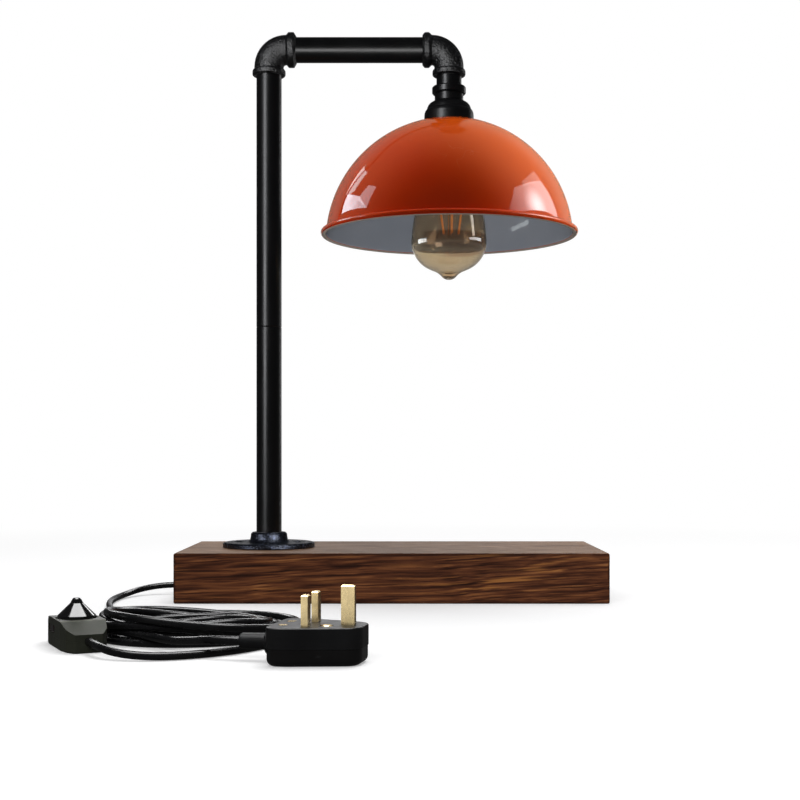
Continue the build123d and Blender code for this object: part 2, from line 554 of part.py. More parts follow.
with BuildPart() as dimmer_base:
    with BuildSketch(DP):
        with BuildLine():
            Polyline(*dim_pts(), close=True)
        make_face()
    extrude(amount=DIM_SPLIT - 0.05)
    fillet(dimmer_base.edges().filter_by(Axis.Z), 1.2)
    chamfer(dimmer_base.faces().sort_by(Axis.Z)[0].edges(), 0.8)
    with BuildSketch(DP.offset(1.8)):
        with BuildLine():
            Polyline(*dim_pts(1.8), close=True)
        make_face()
    extrude(amount=DIM_SPLIT, mode=Mode.SUBTRACT)
    with BuildSketch(DP.offset(1.0)):
        with Locations(*DIM_SCREWS):
            Circle(3.2)
    extrude(amount=DIM_SPLIT - 1.05)
    with BuildSketch(DP.offset(-1)):
        with Locations(*DIM_SCREWS):
            Circle(1.5)
    extrude(amount=DIM_SPLIT + 3, mode=Mode.SUBTRACT)
    with BuildSketch(DP.offset(-0.2)):
        with Locations(*DIM_SCREWS):
            Circle(2.75)
    extrude(amount=1.8, mode=Mode.SUBTRACT)
    with BuildSketch(across(-DIM_HALF - 1, 0, DIM_SPLIT)):
        Circle(CORD_R + 0.02)
    extrude(amount=2 * DIM_HALF + 2, mode=Mode.SUBTRACT)
keep(dimmer_base, "dimmer_base")

with BuildPart() as dimmer_cover:
    with BuildSketch(DP.offset(DIM_SPLIT)):
        with BuildLine():
            Polyline(*dim_pts(), close=True)
        make_face()
    extrude(amount=DIM_H - DIM_SPLIT)
    fillet(dimmer_cover.edges().filter_by(Axis.Z), 1.2)
    for sgn in (-1, 1):
        with BuildSketch(along(0, -20, 0)):
            with BuildLine():
                Polyline((sgn * DIM_SLOPE_X, -DIM_H), (sgn * (DIM_HALF + 1), -(DIM_SLOPE_Z - 0.35)), (sgn * (DIM_HALF + 1), -DIM_H - 3), (sgn * DIM_SLOPE_X, -DIM_H - 3), close=True)
            make_face()
        extrude(amount=40, mode=Mode.SUBTRACT)
    with BuildSketch(DP.offset(DIM_SPLIT - 1)):
        with BuildLine():
            Polyline(*dim_pts(1.8), close=True)
        make_face()
    extrude(amount=DIM_SLOPE_Z - 1.8 - DIM_SPLIT + 1, mode=Mode.SUBTRACT)
    with BuildSketch(DP.offset(DIM_SPLIT - 1)):
        Rectangle(34, 24.2)
    extrude(amount=DIM_H - 3.4 - DIM_SPLIT + 1, mode=Mode.SUBTRACT)
    # well and hole for the knob
    with BuildSketch(DP.offset(DIM_H + 1)):
        Circle(WELL_R)
    extrude(amount=-2.6, mode=Mode.SUBTRACT)
    with BuildSketch(DP.offset(DIM_H + 1)):
        Circle(3.9)
    extrude(amount=-8, mode=Mode.SUBTRACT)
    # screw bosses
    with BuildSketch(DP.offset(DIM_SPLIT)):
        with Locations(*DIM_SCREWS):
            Circle(2.8)
    extrude(amount=3.0)
    with BuildSketch(DP.offset(DIM_SPLIT - 1)):
        with Locations(*DIM_SCREWS):
            Circle(1.25)
    extrude(amount=4.2, mode=Mode.SUBTRACT)
    with BuildSketch(across(-DIM_HALF - 1, 0, DIM_SPLIT)):
        Circle(CORD_R + 0.02)
    extrude(amount=2 * DIM_HALF + 2, mode=Mode.SUBTRACT)
    # recess in the side for the small window
    with BuildSketch(along(-7.5, -15, 11.4)):
        RectangleRounded(17, 4.8, 1.0)
    extrude(amount=2.0, mode=Mode.SUBTRACT)
keep(dimmer_cover, "dimmer_cover")

with BuildPart() as dimmer_window:
    with BuildSketch(along(-9.5, -13.6, 11.4)):
        RectangleRounded(12.6, 4.2, 0.9)
    extrude(amount=0.6)
keep(dimmer_window, "dimmer_window")

with BuildPart() as dimmer_screws:
    with BuildSketch(DP.offset(0.5)):
        with Locations(*DIM_SCREWS):
            Circle(2.6)
    extrude(amount=1.1)
    with BuildSketch(DP.offset(1.5)):
        with Locations(*DIM_SCREWS):
            Circle(1.2)
    extrude(amount=8.2)
    with BuildSketch(DP.offset(0.5)):
        with Locations(*DIM_SCREWS):
            Rectangle(3.6, 0.7)
            Rectangle(0.7, 3.6)
    extrude(amount=0.6, mode=Mode.SUBTRACT)
keep(dimmer_screws, "dimmer_screws")

with BuildPart() as dimmer_pcb:
    with BuildSketch(DP.offset(2.6)):
        RectangleRounded(40, 22, 1.5)
    extrude(amount=1.4)
    with BuildSketch(DP.offset(3.9)):
        with Locations((-13.5, 6)):
            Rectangle(6, 7)
        with Locations((13, -6)):
            Rectangle(7, 7)
    extrude(amount=5.0)
keep(dimmer_pcb, "dimmer_pcb")

with BuildPart() as dimmer_pot:
    with BuildSketch(DP.offset(4.05)):
        Circle(7.8)
    extrude(amount=6.5)
    with BuildSketch(DP.offset(10.5)):
        Circle(3.75)
    extrude(amount=5.6)
    with BuildSketch(DP.offset(6.0)):
        Circle(3.05)
    extrude(amount=12, mode=Mode.SUBTRACT)
keep(dimmer_pot, "dimmer_pot")

# the flex ends that the two shells grip
with BuildPart() as flex_dimmer_ends:
    for x0 in (-DIM_HALF, DIM_HALF - 11.5):
        with BuildSketch(across(x0, 0, DIM_SPLIT)):
            Circle(CORD_R)
        extrude(amount=11.5)
keep(flex_dimmer_ends, "flex_dimmer_ends")

with BuildPart() as dimmer_spindle:
    with BuildSketch(DP.offset(6.3)):
        Circle(3.0)
    extrude(amount=17.5)
keep(dimmer_spindle, "dimmer_spindle")

with BuildPart() as dimmer_knob:
    with BuildSketch(upright_plane(DIM_X, DIM_Y)):
        with BuildLine():
            Polyline((0, 30.2), (1.9, 30.2), (2.6, 29.6), (4.0, 27.0), (KNOB_R - 0.2, 19.6), (KNOB_R, 19.0), (KNOB_R, 17.6), (KNOB_R - 0.7, 17.0),
                     (3.02, 17.0), (3.02, 23.9), (0, 23.9), close=True)
        make_face()
    revolve(axis=Axis((DIM_X, DIM_Y, 0), (0, 0, 1)))
keep(dimmer_knob, "dimmer_knob")

# ---------------------------------------------------------------------------
# Plug, lying on its back with its pins up. Local x runs from the flex to the
# earth pin.
# ---------------------------------------------------------------------------
PP = Plane(origin=(PLUG_X, PLUG_Y, 0), x_dir=(cos(radians(PLUG_TURN)), sin(radians(PLUG_TURN)), 0), z_dir=(0, 0, 1))
X_LN, X_E, Y_LN = -4.5, 17.73, 11.1
GRIP_SPOTS = [(-18.5, 8.7), (-18.5, -8.7)]
COVER_SPOT = (6.4, -6.2)


def plug_pts(w=0.0):
    """The plug's shield-shaped plan, broad at the flex, drawn in by w."""
    top = [(-26 + w, 24.8 - w), (-13, 24.8 - w), (27.8 - w, 14.2 - w)]
    return top + [(x, -y) for x, y in reversed(top)]


def plug_across(x, y, z):
    """Plane across the plug at x: it looks towards the earth pin."""
    return Plane(origin=PP.from_local_coords(Vector(x, y, z)), x_dir=PP.y_dir, z_dir=PP.x_dir)


def plug_slab(z0, height, w):
    """A slab of the plug's plan, as a part of its own."""
    with BuildPart() as q:
        with BuildSketch(PP.offset(z0)):
            with BuildLine():
                Polyline(*plug_pts(w), close=True)
            make_face()
        extrude(amount=height)
        corners = {}
        for e in q.edges().filter_by(Axis.Z):
            x = PP.to_local_coords(e.center()).X
            r = 27.0 if -20 < x < 0 else (max(8.2 - w, 2.0) if x < 0 else max(10.5 - w, 3.0))
            corners.setdefault(r, []).append(e.center())
        for r, spots in corners.items():
            near = [e for e in q.edges().filter_by(Axis.Z) if any((e.center() - c).length < 0.01 for c in spots)]
            fillet(near, r)
    return q.part


with BuildPart() as plug_body:
    add(plug_slab(PLUG_SPLIT + 0.05, PLUG_H - PLUG_SPLIT - 0.05, 0.0))
    fillet(plug_body.faces().sort_by(Axis.Z)[-1].edges(), 1.0)
    # wiring chamber
    add(plug_slab(PLUG_SPLIT - 1, 9.0, 2.2), mode=Mode.SUBTRACT)
    with BuildSketch(PP.offset(PLUG_SPLIT)):
        with Locations((X_LN, Y_LN), (X_LN, -Y_LN)):
            Rectangle(4.03, 6.41)
        with Locations((X_E, 0)):
            Rectangle(7.98, 4.03)
        with Locations(*GRIP_SPOTS):
            Circle(1.7)
        with Locations(COVER_SPOT):
            Circle(1.9)
    extrude(amount=20, mode=Mode.SUBTRACT)
    with BuildSketch(PP.offset(PLUG_H - 1.3)):
        with Locations(*GRIP_SPOTS):
            Circle(2.9)
        with Locations(COVER_SPOT):
            Circle(4.0)
    extrude(amount=3, mode=Mode.SUBTRACT)
    with BuildSketch(plug_across(-30, 0, Z_CORD)):
        Circle(4.6)
    extrude(amount=12, mode=Mode.SUBTRACT)
keep(plug_body, "plug_body")

with BuildPart() as plug_cover:
    add(plug_slab(0.0, PLUG_SPLIT, 0.4))
    fillet(plug_cover.faces().sort_by(Axis.Z)[0].edges(), 4.0)
    add(plug_slab(2.4, PLUG_SPLIT, 4.2), mode=Mode.SUBTRACT)
    with BuildSketch(PP.offset(1.0)):
        with Locations(COVER_SPOT):
            Circle(3.4)
    extrude(amount=PLUG_SPLIT - 1.0)
    with BuildSketch(PP.offset(3.0)):
        with Locations(COVER_SPOT):
            Circle(1.65)
    extrude(amount=PLUG_SPLIT, mode=Mode.SUBTRACT)
    with BuildSketch(plug_across(-30, 0, Z_CORD)):
        Circle(4.6)
    extrude(amount=12, mode=Mode.SUBTRACT)
keep(plug_cover, "plug_cover")

with BuildPart() as plug_pins:
    with BuildSketch(PP.offset(12.0)):
        with Locations((X_LN, Y_LN), (X_LN, -Y_LN)):
            Rectangle(3.97, 6.35)
    extrude(amount=PLUG_H + 17.7 - 12.0)
    chamfer(plug_pins.faces().group_by(Axis.Z)[-1].edges(), 0.7)
keep(plug_pins, "plug_pins")

with BuildPart() as plug_earth_pin:
    with BuildSketch(PP.offset(12.0)):
        with Locations((X_E, 0)):
            Rectangle(7.92, 3.97)
    extrude(amount=PLUG_H + 22.73 - 12.0)
    chamfer(plug_earth_pin.faces().sort_by(Axis.Z)[-1].edges(), 0.8)
keep(plug_earth_pin, "plug_earth_pin")

with BuildPart() as plug_cover_screw:
    with BuildSketch(PP.offset(PLUG_H - 1.2)):
        with Locations(COVER_SPOT):
            Circle(3.3)
    extrude(amount=1.5)
    chamfer(plug_cover_screw.faces().sort_by(Axis.Z)[-1].edges(), 0.4)
    with BuildSketch(PP.offset(3.5)):
        with Locations(COVER_SPOT):
            Circle(1.6)
    extrude(amount=PLUG_H - 1.2 - 3.5)
    with BuildSketch(PP.offset(PLUG_H - 0.5)):
        with Locations(Location((COVER_SPOT[0], COVER_SPOT[1], 0), (0, 0, 35))):
            Rectangle(8, 0.9)
    extrude(amount=2, mode=Mode.SUBTRACT)
keep(plug_cover_screw, "plug_cover_screw")

with BuildPart() as plug_grip_screws:
    for sx, sy in GRIP_SPOTS:
        with BuildSketch(PP.offset(PLUG_H - 1.2)):
            with Locations((sx, sy)):
                Circle(2.5)
        extrude(amount=1.3)
        with BuildSketch(PP.offset(6.0)):
            with Locations((sx, sy)):
                Circle(1.45)
        extrude(amount=PLUG_H - 1.2 - 6.0)
        with BuildSketch(PP.offset(PLUG_H - 0.6)):
            with Locations(Location((sx, sy, 0), (0, 0, 50 if sy > 0 else 15))):
                Rectangle(6, 0.8)
        extrude(amount=2, mode=Mode.SUBTRACT)
keep(plug_grip_screws, "plug_grip_screws")

with BuildPart() as plug_cord_grip:
    with BuildSketch(PP.offset(5.9)):
        with Locations((-18.5, 0)):
            RectangleRounded(5.6, 23.4, 2.0)
        with Locations(*GRIP_SPOTS):
            Circle(1.5, mode=Mode.SUBTRACT)
    extrude(amount=2.55)
keep(plug_cord_grip, "plug_cord_grip")

FUSE_X, FUSE_Y, FUSE_Z = -13.0, 4.2, 7.4
with BuildPart() as plug_fuse:
    with BuildSketch(plug_across(FUSE_X, FUSE_Y, FUSE_Z)):
        Circle(3.17)
    extrude(amount=25.4)
keep(plug_fuse, "plug_fuse")
with BuildPart() as plug_fuse_clips:
    for cx in (FUSE_X + 2.0, FUSE_X + 19.4):
        with BuildSketch(plug_across(cx, FUSE_Y, FUSE_Z)):
            Circle(3.75)
            Circle(3.22, mode=Mode.SUBTRACT)
            with Locations((0, 5.4)):
                Rectangle(9, 6, mode=Mode.SUBTRACT)
        extrude(amount=4)
keep(plug_fuse_clips, "plug_fuse_clips")

with BuildPart() as plug_sleeve:
    with BuildSketch(Plane(origin=PP.from_local_coords(Vector(X_SLEEVE, 0, Z_CORD)), x_dir=PP.x_dir, z_dir=-PP.y_dir)):
        with BuildLine():
            Polyline((0, CORD_R + 0.02), (0, 4.0), (0.8, 4.6), (16.0, 4.85), (16.2, 6.9), (16.9, 7.5), (20.1, 7.5), (20.7, 7.0), (20.8, 4.5), (24.5, 4.5), (24.5, CORD_R + 0.02), close=True)
        make_face()
    revolve(axis=Axis(PP.from_local_coords(Vector(X_SLEEVE, 0, Z_CORD)), PP.x_dir))
keep(plug_sleeve, "plug_sleeve")

# the flex end inside the sleeve and the grip
with BuildPart() as flex_plug_end:
    with BuildSketch(plug_across(X_SLEEVE, 0, Z_CORD)):
        Circle(CORD_R)
    extrude(amount=32.0)
keep(flex_plug_end, "flex_plug_end")

print(len(made), "nodes")
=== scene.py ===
"""Industrial pipe table lamp: looks, cords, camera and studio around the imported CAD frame. Everything is in metres."""

import math

import bmesh
import bpy
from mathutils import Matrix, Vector


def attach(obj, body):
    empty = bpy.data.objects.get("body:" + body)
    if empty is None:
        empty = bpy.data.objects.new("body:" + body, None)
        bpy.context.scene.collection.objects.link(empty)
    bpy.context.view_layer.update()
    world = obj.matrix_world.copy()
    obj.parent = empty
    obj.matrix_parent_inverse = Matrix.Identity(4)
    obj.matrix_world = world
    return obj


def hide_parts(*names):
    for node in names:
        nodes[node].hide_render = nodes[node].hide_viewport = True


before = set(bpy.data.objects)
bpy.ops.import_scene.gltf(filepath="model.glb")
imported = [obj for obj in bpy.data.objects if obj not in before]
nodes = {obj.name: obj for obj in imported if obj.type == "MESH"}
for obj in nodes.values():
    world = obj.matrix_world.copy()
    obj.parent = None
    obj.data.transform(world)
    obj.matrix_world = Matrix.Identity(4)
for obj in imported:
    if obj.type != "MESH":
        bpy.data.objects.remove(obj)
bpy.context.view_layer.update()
scene = bpy.context.scene
scene.view_settings.view_transform = "Standard"
scene.view_settings.look = "None"
scene.view_settings.exposure = 0.0
scene.view_settings.gamma = 1.0

# ---------------------------------------------------------------- camera
cam_data = bpy.data.cameras.new("camera")
cam_data.sensor_width = 36.0
cam_data.lens = 60.3
cam_data.shift_y = 0.06625
cam_data.clip_start, cam_data.clip_end = 0.02, 60.0
camera = bpy.data.objects.new("camera", cam_data)
scene.collection.objects.link(camera)
camera.location = (0.0067, -1.141, 0.120)
camera.rotation_euler = (math.pi / 2, 0.0, 0.0)
scene.camera = camera

# ---------------------------------------------------------------- cords
CORD_A = [
    # out of the base and down to the floor, to the coil
    (-0.17400, 0.00000, 0.00800), (-0.19300, 0.00000, 0.00800), (-0.21150, -0.01100, 0.00560), (-0.22100, -0.03300, 0.00300),
    (-0.22400, -0.06100, 0.00260), (-0.22100, -0.09300, 0.00260), (-0.21300, -0.12500, 0.00260), (-0.20300, -0.15400, 0.00290),
    (-0.19400, -0.17800, 0.00600), (-0.18800, -0.19700, 0.00930), (-0.18450, -0.21500, 0.00960), (-0.18300, -0.23900, 0.00820),
    # turns in the coil
    (-0.19046, -0.26321, 0.00893), (-0.18537, -0.28811, 0.01094), (-0.16870, -0.30670, 0.01269), (-0.14642, -0.31536, 0.01282),
    (-0.12344, -0.31506, 0.01127), (-0.10213, -0.30791, 0.00899), (-0.08388, -0.29423, 0.00680), (-0.07231, -0.27387, 0.00532),
    (-0.07104, -0.24995, 0.00485), (-0.08155, -0.22805, 0.00544), (-0.10093, -0.21349, 0.00688), (-0.12394, -0.20797, 0.00884),
    (-0.14681, -0.21030, 0.01091), (-0.16768, -0.21991, 0.01273), (-0.18374, -0.23742, 0.01394), (-0.18970, -0.26135, 0.01418),
    (-0.18148, -0.28493, 0.01313), (-0.16376, -0.30108, 0.01115), (-0.14258, -0.30721, 0.00904), (-0.12299, -0.30503, 0.00754),
    (-0.10696, -0.29723, 0.00722), (-0.09528, -0.28509, 0.00816), (-0.08973, -0.26971, 0.00919), (-0.08855, -0.25346, 0.00934),
    (-0.09470, -0.23809, 0.00870), (-0.10724, -0.22746, 0.00750), (-0.12267, -0.22303, 0.00603), (-0.13849, -0.22410, 0.00458),
    (-0.15331, -0.23064, 0.00342), (-0.16477, -0.24301, 0.00280), (-0.16968, -0.25970, 0.00294), (-0.16603, -0.27686, 0.00396),
    (-0.15516, -0.29019, 0.00581), (-0.14044, -0.29759, 0.00824), (-0.12475, -0.29966, 0.01070), (-0.10901, -0.29695, 0.01240),
    (-0.09407, -0.28879, 0.01248), (-0.08249, -0.27427, 0.01094), (-0.07837, -0.25477, 0.00868), (-0.08437, -0.23500, 0.00659),
    (-0.09903, -0.22042, 0.00535), (-0.11788, -0.21364, 0.00543), (-0.13740, -0.21368, 0.00698), (-0.15649, -0.22046, 0.00978),
    (-0.17325, -0.23503, 0.01324), (-0.18342, -0.25727, 0.01645), (-0.18226, -0.28304, 0.01837), (-0.16891, -0.30499, 0.01855),
    (-0.14772, -0.31769, 0.01725), (-0.12423, -0.32092, 0.01497), (-0.10101, -0.31613, 0.01246), (-0.07951, -0.30338, 0.01029),
    (-0.06379, -0.28181, 0.00880), (-0.05912, -0.25439, 0.00804), (-0.06830, -0.22800, 0.00788), (-0.08963, -0.21013, 0.00799),
    (-0.11549, -0.20389, 0.00803),
    # out of the coil and round to the dimmer
    (-0.14100, -0.20400, 0.00760), (-0.16500, -0.19650, 0.00620), (-0.18900, -0.20300, 0.00300), (-0.20800, -0.22100, 0.00260),
    (-0.21750, -0.24300, 0.00420), (-0.21556, -0.26500, 0.00700), (-0.20852, -0.27937, 0.00700),
]

CORD_B = [
    # out of the dimmer and round to the coil
    (-0.17948, -0.33863, 0.00700), (-0.17290, -0.35210, 0.00700), (-0.15950, -0.36460, 0.00420), (-0.13800, -0.36900, 0.00260),
    (-0.11600, -0.36300, 0.00260), (-0.09600, -0.34900, 0.00260), (-0.07900, -0.32800, 0.00260), (-0.06600, -0.30000, 0.00260),
    (-0.06000, -0.26800, 0.00260), (-0.06400, -0.23700, 0.00260), (-0.07800, -0.21100, 0.00260), (-0.10000, -0.20000, 0.00260),
    (-0.12400, -0.20300, 0.00260),
    # turns in the coil
    (-0.14829, -0.20588, 0.00260), (-0.17027, -0.21799, 0.00260), (-0.18687, -0.23811, 0.00260), (-0.19312, -0.26409, 0.00261),
    (-0.18578, -0.28998, 0.00261), (-0.16722, -0.30878, 0.00260), (-0.14348, -0.31739, 0.00260), (-0.11945, -0.31702, 0.00261),
    (-0.09713, -0.30921, 0.00261), (-0.07817, -0.29403, 0.00261), (-0.06647, -0.27171, 0.00260), (-0.06660, -0.24599, 0.00260),
    (-0.07956, -0.22378, 0.00260), (-0.10116, -0.21058, 0.00260), (-0.12548, -0.20717, 0.00261), (-0.14863, -0.21207, 0.00262),
    (-0.16860, -0.22358, 0.00262), (-0.18297, -0.24165, 0.00261), (-0.18760, -0.26463, 0.00260), (-0.18004, -0.28719, 0.00260),
    (-0.16261, -0.30326, 0.00262), (-0.14087, -0.31012, 0.00266), (-0.11959, -0.30876, 0.00269), (-0.10098, -0.30126, 0.00269),
    (-0.08639, -0.28830, 0.00268), (-0.07891, -0.27060, 0.00264), (-0.08116, -0.25193, 0.00258), (-0.09200, -0.23724, 0.00260),
    (-0.10743, -0.22946, 0.00263), (-0.12322, -0.22838, 0.00266), (-0.13719, -0.23215, 0.00267), (-0.14864, -0.23972, 0.00268),
    (-0.15624, -0.25082, 0.00270), (-0.16025, -0.26409, 0.00271), (-0.15730, -0.27806, 0.00272), (-0.14780, -0.28892, 0.00271),
    (-0.13465, -0.29451, 0.00266), (-0.12050, -0.29493, 0.00257), (-0.10658, -0.29079, 0.00263), (-0.09408, -0.28165, 0.00330),
    (-0.08572, -0.26730, 0.00507), (-0.08435, -0.24972, 0.00723), (-0.09181, -0.23322, 0.00840), (-0.10617, -0.22210, 0.00833),
    (-0.12398, -0.21790, 0.00770), (-0.14287, -0.22009, 0.00711), (-0.16156, -0.22879, 0.00687), (-0.17709, -0.24525, 0.00704),
    (-0.18459, -0.26777, 0.00746), (-0.18017, -0.29079, 0.00783),
    # out of the coil and over to the plug
    (-0.16300, -0.30600, 0.00800), (-0.14700, -0.31850, 0.00740), (-0.13200, -0.33200, 0.00680), (-0.11850, -0.34600, 0.00860),
    (-0.10407, -0.35838, 0.01100), (-0.08597, -0.36223, 0.01100),
]


def cord_curve(name, points):
    cu = bpy.data.curves.new(name, "CURVE")
    cu.dimensions = "3D"
    line = cu.splines.new("NURBS")
    line.points.add(len(points) - 1)
    for p, (x, y, z) in zip(line.points, points):
        p.co = (x, y, z, 1.0)
        # the width is told by the points, so that the curve's box isn't a metre too large
        p.radius = 0.0025
    line.order_u = 3
    line.use_endpoint_u = True
    line.use_smooth = True
    cu.resolution_u = 16
    cu.bevel_depth = 1.0
    cu.bevel_resolution = 6
    cu.use_fill_caps = True
    ob = bpy.data.objects.new(name, cu)
    scene.collection.objects.link(ob)
    return ob


flex_a = cord_curve("flex_lamp_to_dimmer", CORD_A)
flex_b = cord_curve("flex_dimmer_to_plug", CORD_B)
DIMMER = ["dimmer_base", "dimmer_cover", "dimmer_pcb", "dimmer_pot", "dimmer_screws", "dimmer_window", "flex_dimmer_ends", "dimmer_knob", "dimmer_spindle"]
PLUG = ["plug_body", "plug_cover", "plug_pins", "plug_earth_pin", "plug_cover_screw", "plug_grip_screws", "plug_cord_grip", "plug_fuse",
        "plug_fuse_clips", "plug_sleeve", "flex_plug_end"]
for ob in (flex_a, flex_b):
    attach(ob, "stand")
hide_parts("cord_lamp_run", "cord_coil", "cord_dimmer_in")
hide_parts("cord_dimmer_out", "cord_plug_run")


def blown_glass():
    """The bulb's glass, with the full round bowl that the photograph shows where the CAD's is nearer to a cone."""
    out = [(0.0, 267.4), (3.0, 267.9), (5.4, 269.3), (7.3, 271.3), (10.6, 273.8), (15.2, 275.8), (18.9, 277.6), (21.7, 279.4), (24.1, 281.4),
           (26.2, 283.6), (28.1, 286.2), (29.7, 289.2), (30.9, 292.4), (31.7, 295.6), (32.0, 299.2), (31.5, 307.0), (30.3, 317.0), (28.5, 328.0),
           (25.9, 339.5), (22.6, 351.0), (19.1, 361.5), (16.2, 369.5), (14.1, 376.5), (13.2, 380.5), (12.6, 383.2), (12.6, 386.4)]
    pts = [(-out[1][0], out[1][1])] + out + [(12.6, 389.6)]
    rows = []
    for i in range(1, len(pts) - 2):
        p0, p1, p2, p3 = (Vector(p) for p in pts[i - 1:i + 3])
        k0 = 0.0
        k1 = k0 + math.sqrt((p1 - p0).length)
        k2 = k1 + math.sqrt((p2 - p1).length)
        k3 = k2 + math.sqrt((p3 - p2).length)
        for j in range(5):
            k = k1 + (k2 - k1) * j / 5
            a1 = p0 * ((k1 - k) / (k1 - k0)) + p1 * ((k - k0) / (k1 - k0))
            a2 = p1 * ((k2 - k) / (k2 - k1)) + p2 * ((k - k1) / (k2 - k1))
            a3 = p2 * ((k3 - k) / (k3 - k2)) + p3 * ((k - k2) / (k3 - k2))
            b1 = a1 * ((k2 - k) / (k2 - k0)) + a2 * ((k - k0) / (k2 - k0))
            b2 = a2 * ((k3 - k) / (k3 - k1)) + a3 * ((k - k1) / (k3 - k1))
            rows.append(b1 * ((k2 - k) / (k2 - k1)) + b2 * ((k - k1) / (k2 - k1)))
    rows.append(Vector(out[-1]))
    inner = []
    for i, p in enumerate(rows):
        along = rows[min(i + 1, len(rows) - 1)] - rows[max(i - 1, 0)]
        if i == 0:
            along = Vector((1.0, 0.0))
        normal = Vector((-along.y, along.x)).normalized()
        wall = 0.95 + 0.9 * math.exp(-(p.x / 3.0) ** 2)
        q = p + normal * wall
        inner.append(Vector((max(q.x, 0.0), q.y)))
    inner[0].x = 0.0
    outline = rows + inner[::-1]
    turns = 112
    bm = bmesh.new()
    rings = []
    for p in outline:
        if p.x < 1e-6:
            rings.append([bm.verts.new((0.0484, 0.0, p.y / 1000.0))])
        else:
            rings.append([bm.verts.new((0.0484 + p.x / 1000.0 * math.cos(2 * math.pi * t / turns), p.x / 1000.0 * math.sin(2 * math.pi * t / turns), p.y / 1000.0)) for t in range(turns)])
    for low, high in zip(rings, rings[1:]):
        for t in range(turns):
            n = (t + 1) % turns
            if len(low) == 1 and len(high) > 1:
                bm.faces.new((low[0], high[n], high[t]))
            elif len(high) == 1 and len(low) > 1:
                bm.faces.new((low[t], low[n], high[0]))
            elif len(low) > 1:
                bm.faces.new((low[t], low[n], high[n], high[t]))
    bmesh.ops.recalc_face_normals(bm, faces=bm.faces[:])
    for f in bm.faces:
        f.smooth = True
    me = bpy.data.meshes.new("bulb_envelope")
    bm.to_mesh(me)
    bm.free()
    ob = bpy.data.objects.new("bulb_envelope", me)
    scene.collection.objects.link(ob)
    return ob


envelope = blown_glass()
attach(envelope, "bulb")
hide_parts("bulb_glass")


# ---------------------------------------------------------------- material tools
def srgb(r, g, b):
    def lin(v):
        v /= 255.0
        return v / 12.92 if v <= 0.04045 else ((v + 0.055) / 1.055) ** 2.4
    return (lin(r), lin(g), lin(b), 1.0)


class Mat:
    """A material with one Principled shader, and short calls for its nodes."""

    def __init__(self, name):
        self.m = bpy.data.materials.new(name)
        self.m.use_nodes = True
        self.t = self.m.node_tree
        self.t.nodes.clear()
        self.o = self.t.nodes.new("ShaderNodeOutputMaterial")
        self.b = self.t.nodes.new("ShaderNodeBsdfPrincipled")
        self.t.links.new(self.b.outputs[0], self.o.inputs[0])
        self.p = self.put("TexCoord").outputs["Object"]

    def put(self, kind, ins=None, **props):
        n = self.t.nodes.new("ShaderNode" + kind)
        for k, v in props.items():
            setattr(n, k, v)
        for k, v in (ins or {}).items():
            self.set(n.inputs[k], v)
        return n

    def set(self, socket, v):
        if isinstance(v, bpy.types.NodeSocket):
            self.t.links.new(v, socket)
        else:
            socket.default_value = v

    def shader(self, **values):
        for k, v in values.items():
            self.set(self.b.inputs[k.replace("_", " ")], v)

    def math(self, op, a, b=0.0, c=0.0, clamp=False):
        return self.put("Math", {0: a, 1: b, 2: c}, operation=op, use_clamp=clamp).outputs[0]

    def xyz(self, v=None):
        s = self.put("SeparateXYZ", {0: v or self.p})
        return s.outputs[0], s.outputs[1], s.outputs[2]

    def vec(self, x, y, z):
        return self.put("CombineXYZ", {0: x, 1: y, 2: z}).outputs[0]

    def place(self, scale=(1, 1, 1), rot=(0, 0, 0), loc=(0, 0, 0), v=None):
        return self.put("Mapping", {"Vector": v or self.p, "Scale": scale, "Rotation": rot, "Location": loc}).outputs[0]

    def vop(self, op, a, b=(0, 0, 0)):
        n = self.put("VectorMath", {0: a, 1: b}, operation=op)
        return n.outputs[1] if op in ("LENGTH", "DISTANCE", "DOT_PRODUCT") else n.outputs[0]

    def noise(self, scale, detail=2.0, rough=0.5, warp=0.0, v=None):
        return self.put("TexNoise", {"Vector": v or self.p, "Scale": scale, "Detail": detail, "Roughness": rough, "Distortion": warp}).outputs[0]

    def noise_colour(self, scale, detail=2.0, rough=0.5, v=None):
        return self.put("TexNoise", {"Vector": v or self.p, "Scale": scale, "Detail": detail, "Roughness": rough}).outputs[1]

    def cells(self, scale, v=None, feature="F1", rand=1.0):
        return self.put("TexVoronoi", {"Vector": v or self.p, "Scale": scale, "Randomness": rand}, feature=feature).outputs[0]

    def span(self, v, a, b, lo=0.0, hi=1.0, soft=False):
        """v from a..b becomes lo..hi, clamped."""
        n = self.put("MapRange", {0: v, 1: a, 2: b, 3: lo, 4: hi}, clamp=True)
        if soft:
            n.interpolation_type = "SMOOTHSTEP"
        return n.outputs[0]

    def mix(self, f, a, b, blend="MIX"):
        n = self.put("Mix", data_type="RGBA", blend_type=blend)
        self.set(n.inputs[0], f)
        self.set(n.inputs[6], a)
        self.set(n.inputs[7], b)
        return n.outputs[2]

    def ramp(self, f, stops, interpolation="LINEAR"):
        n = self.put("ValToRGB", {0: f})
        r = n.color_ramp
        r.interpolation = interpolation
        while len(r.elements) > 1:
            r.elements.remove(r.elements[-1])
        r.elements[0].position, r.elements[0].color = stops[0]
        for pos, col in stops[1:]:
            r.elements.new(pos).color = col
        return n.outputs[0]

    def bump(self, height, distance, strength=1.0, normal=None):
        ins = {"Height": height, "Distance": distance, "Strength": strength}
        if normal is not None:
            ins["Normal"] = normal
        return self.put("Bump", ins).outputs[0]


def apply(material, *names):
    for n in names:
        mesh = nodes[n].data
        mesh.materials.clear()
        mesh.materials.append(material.m)


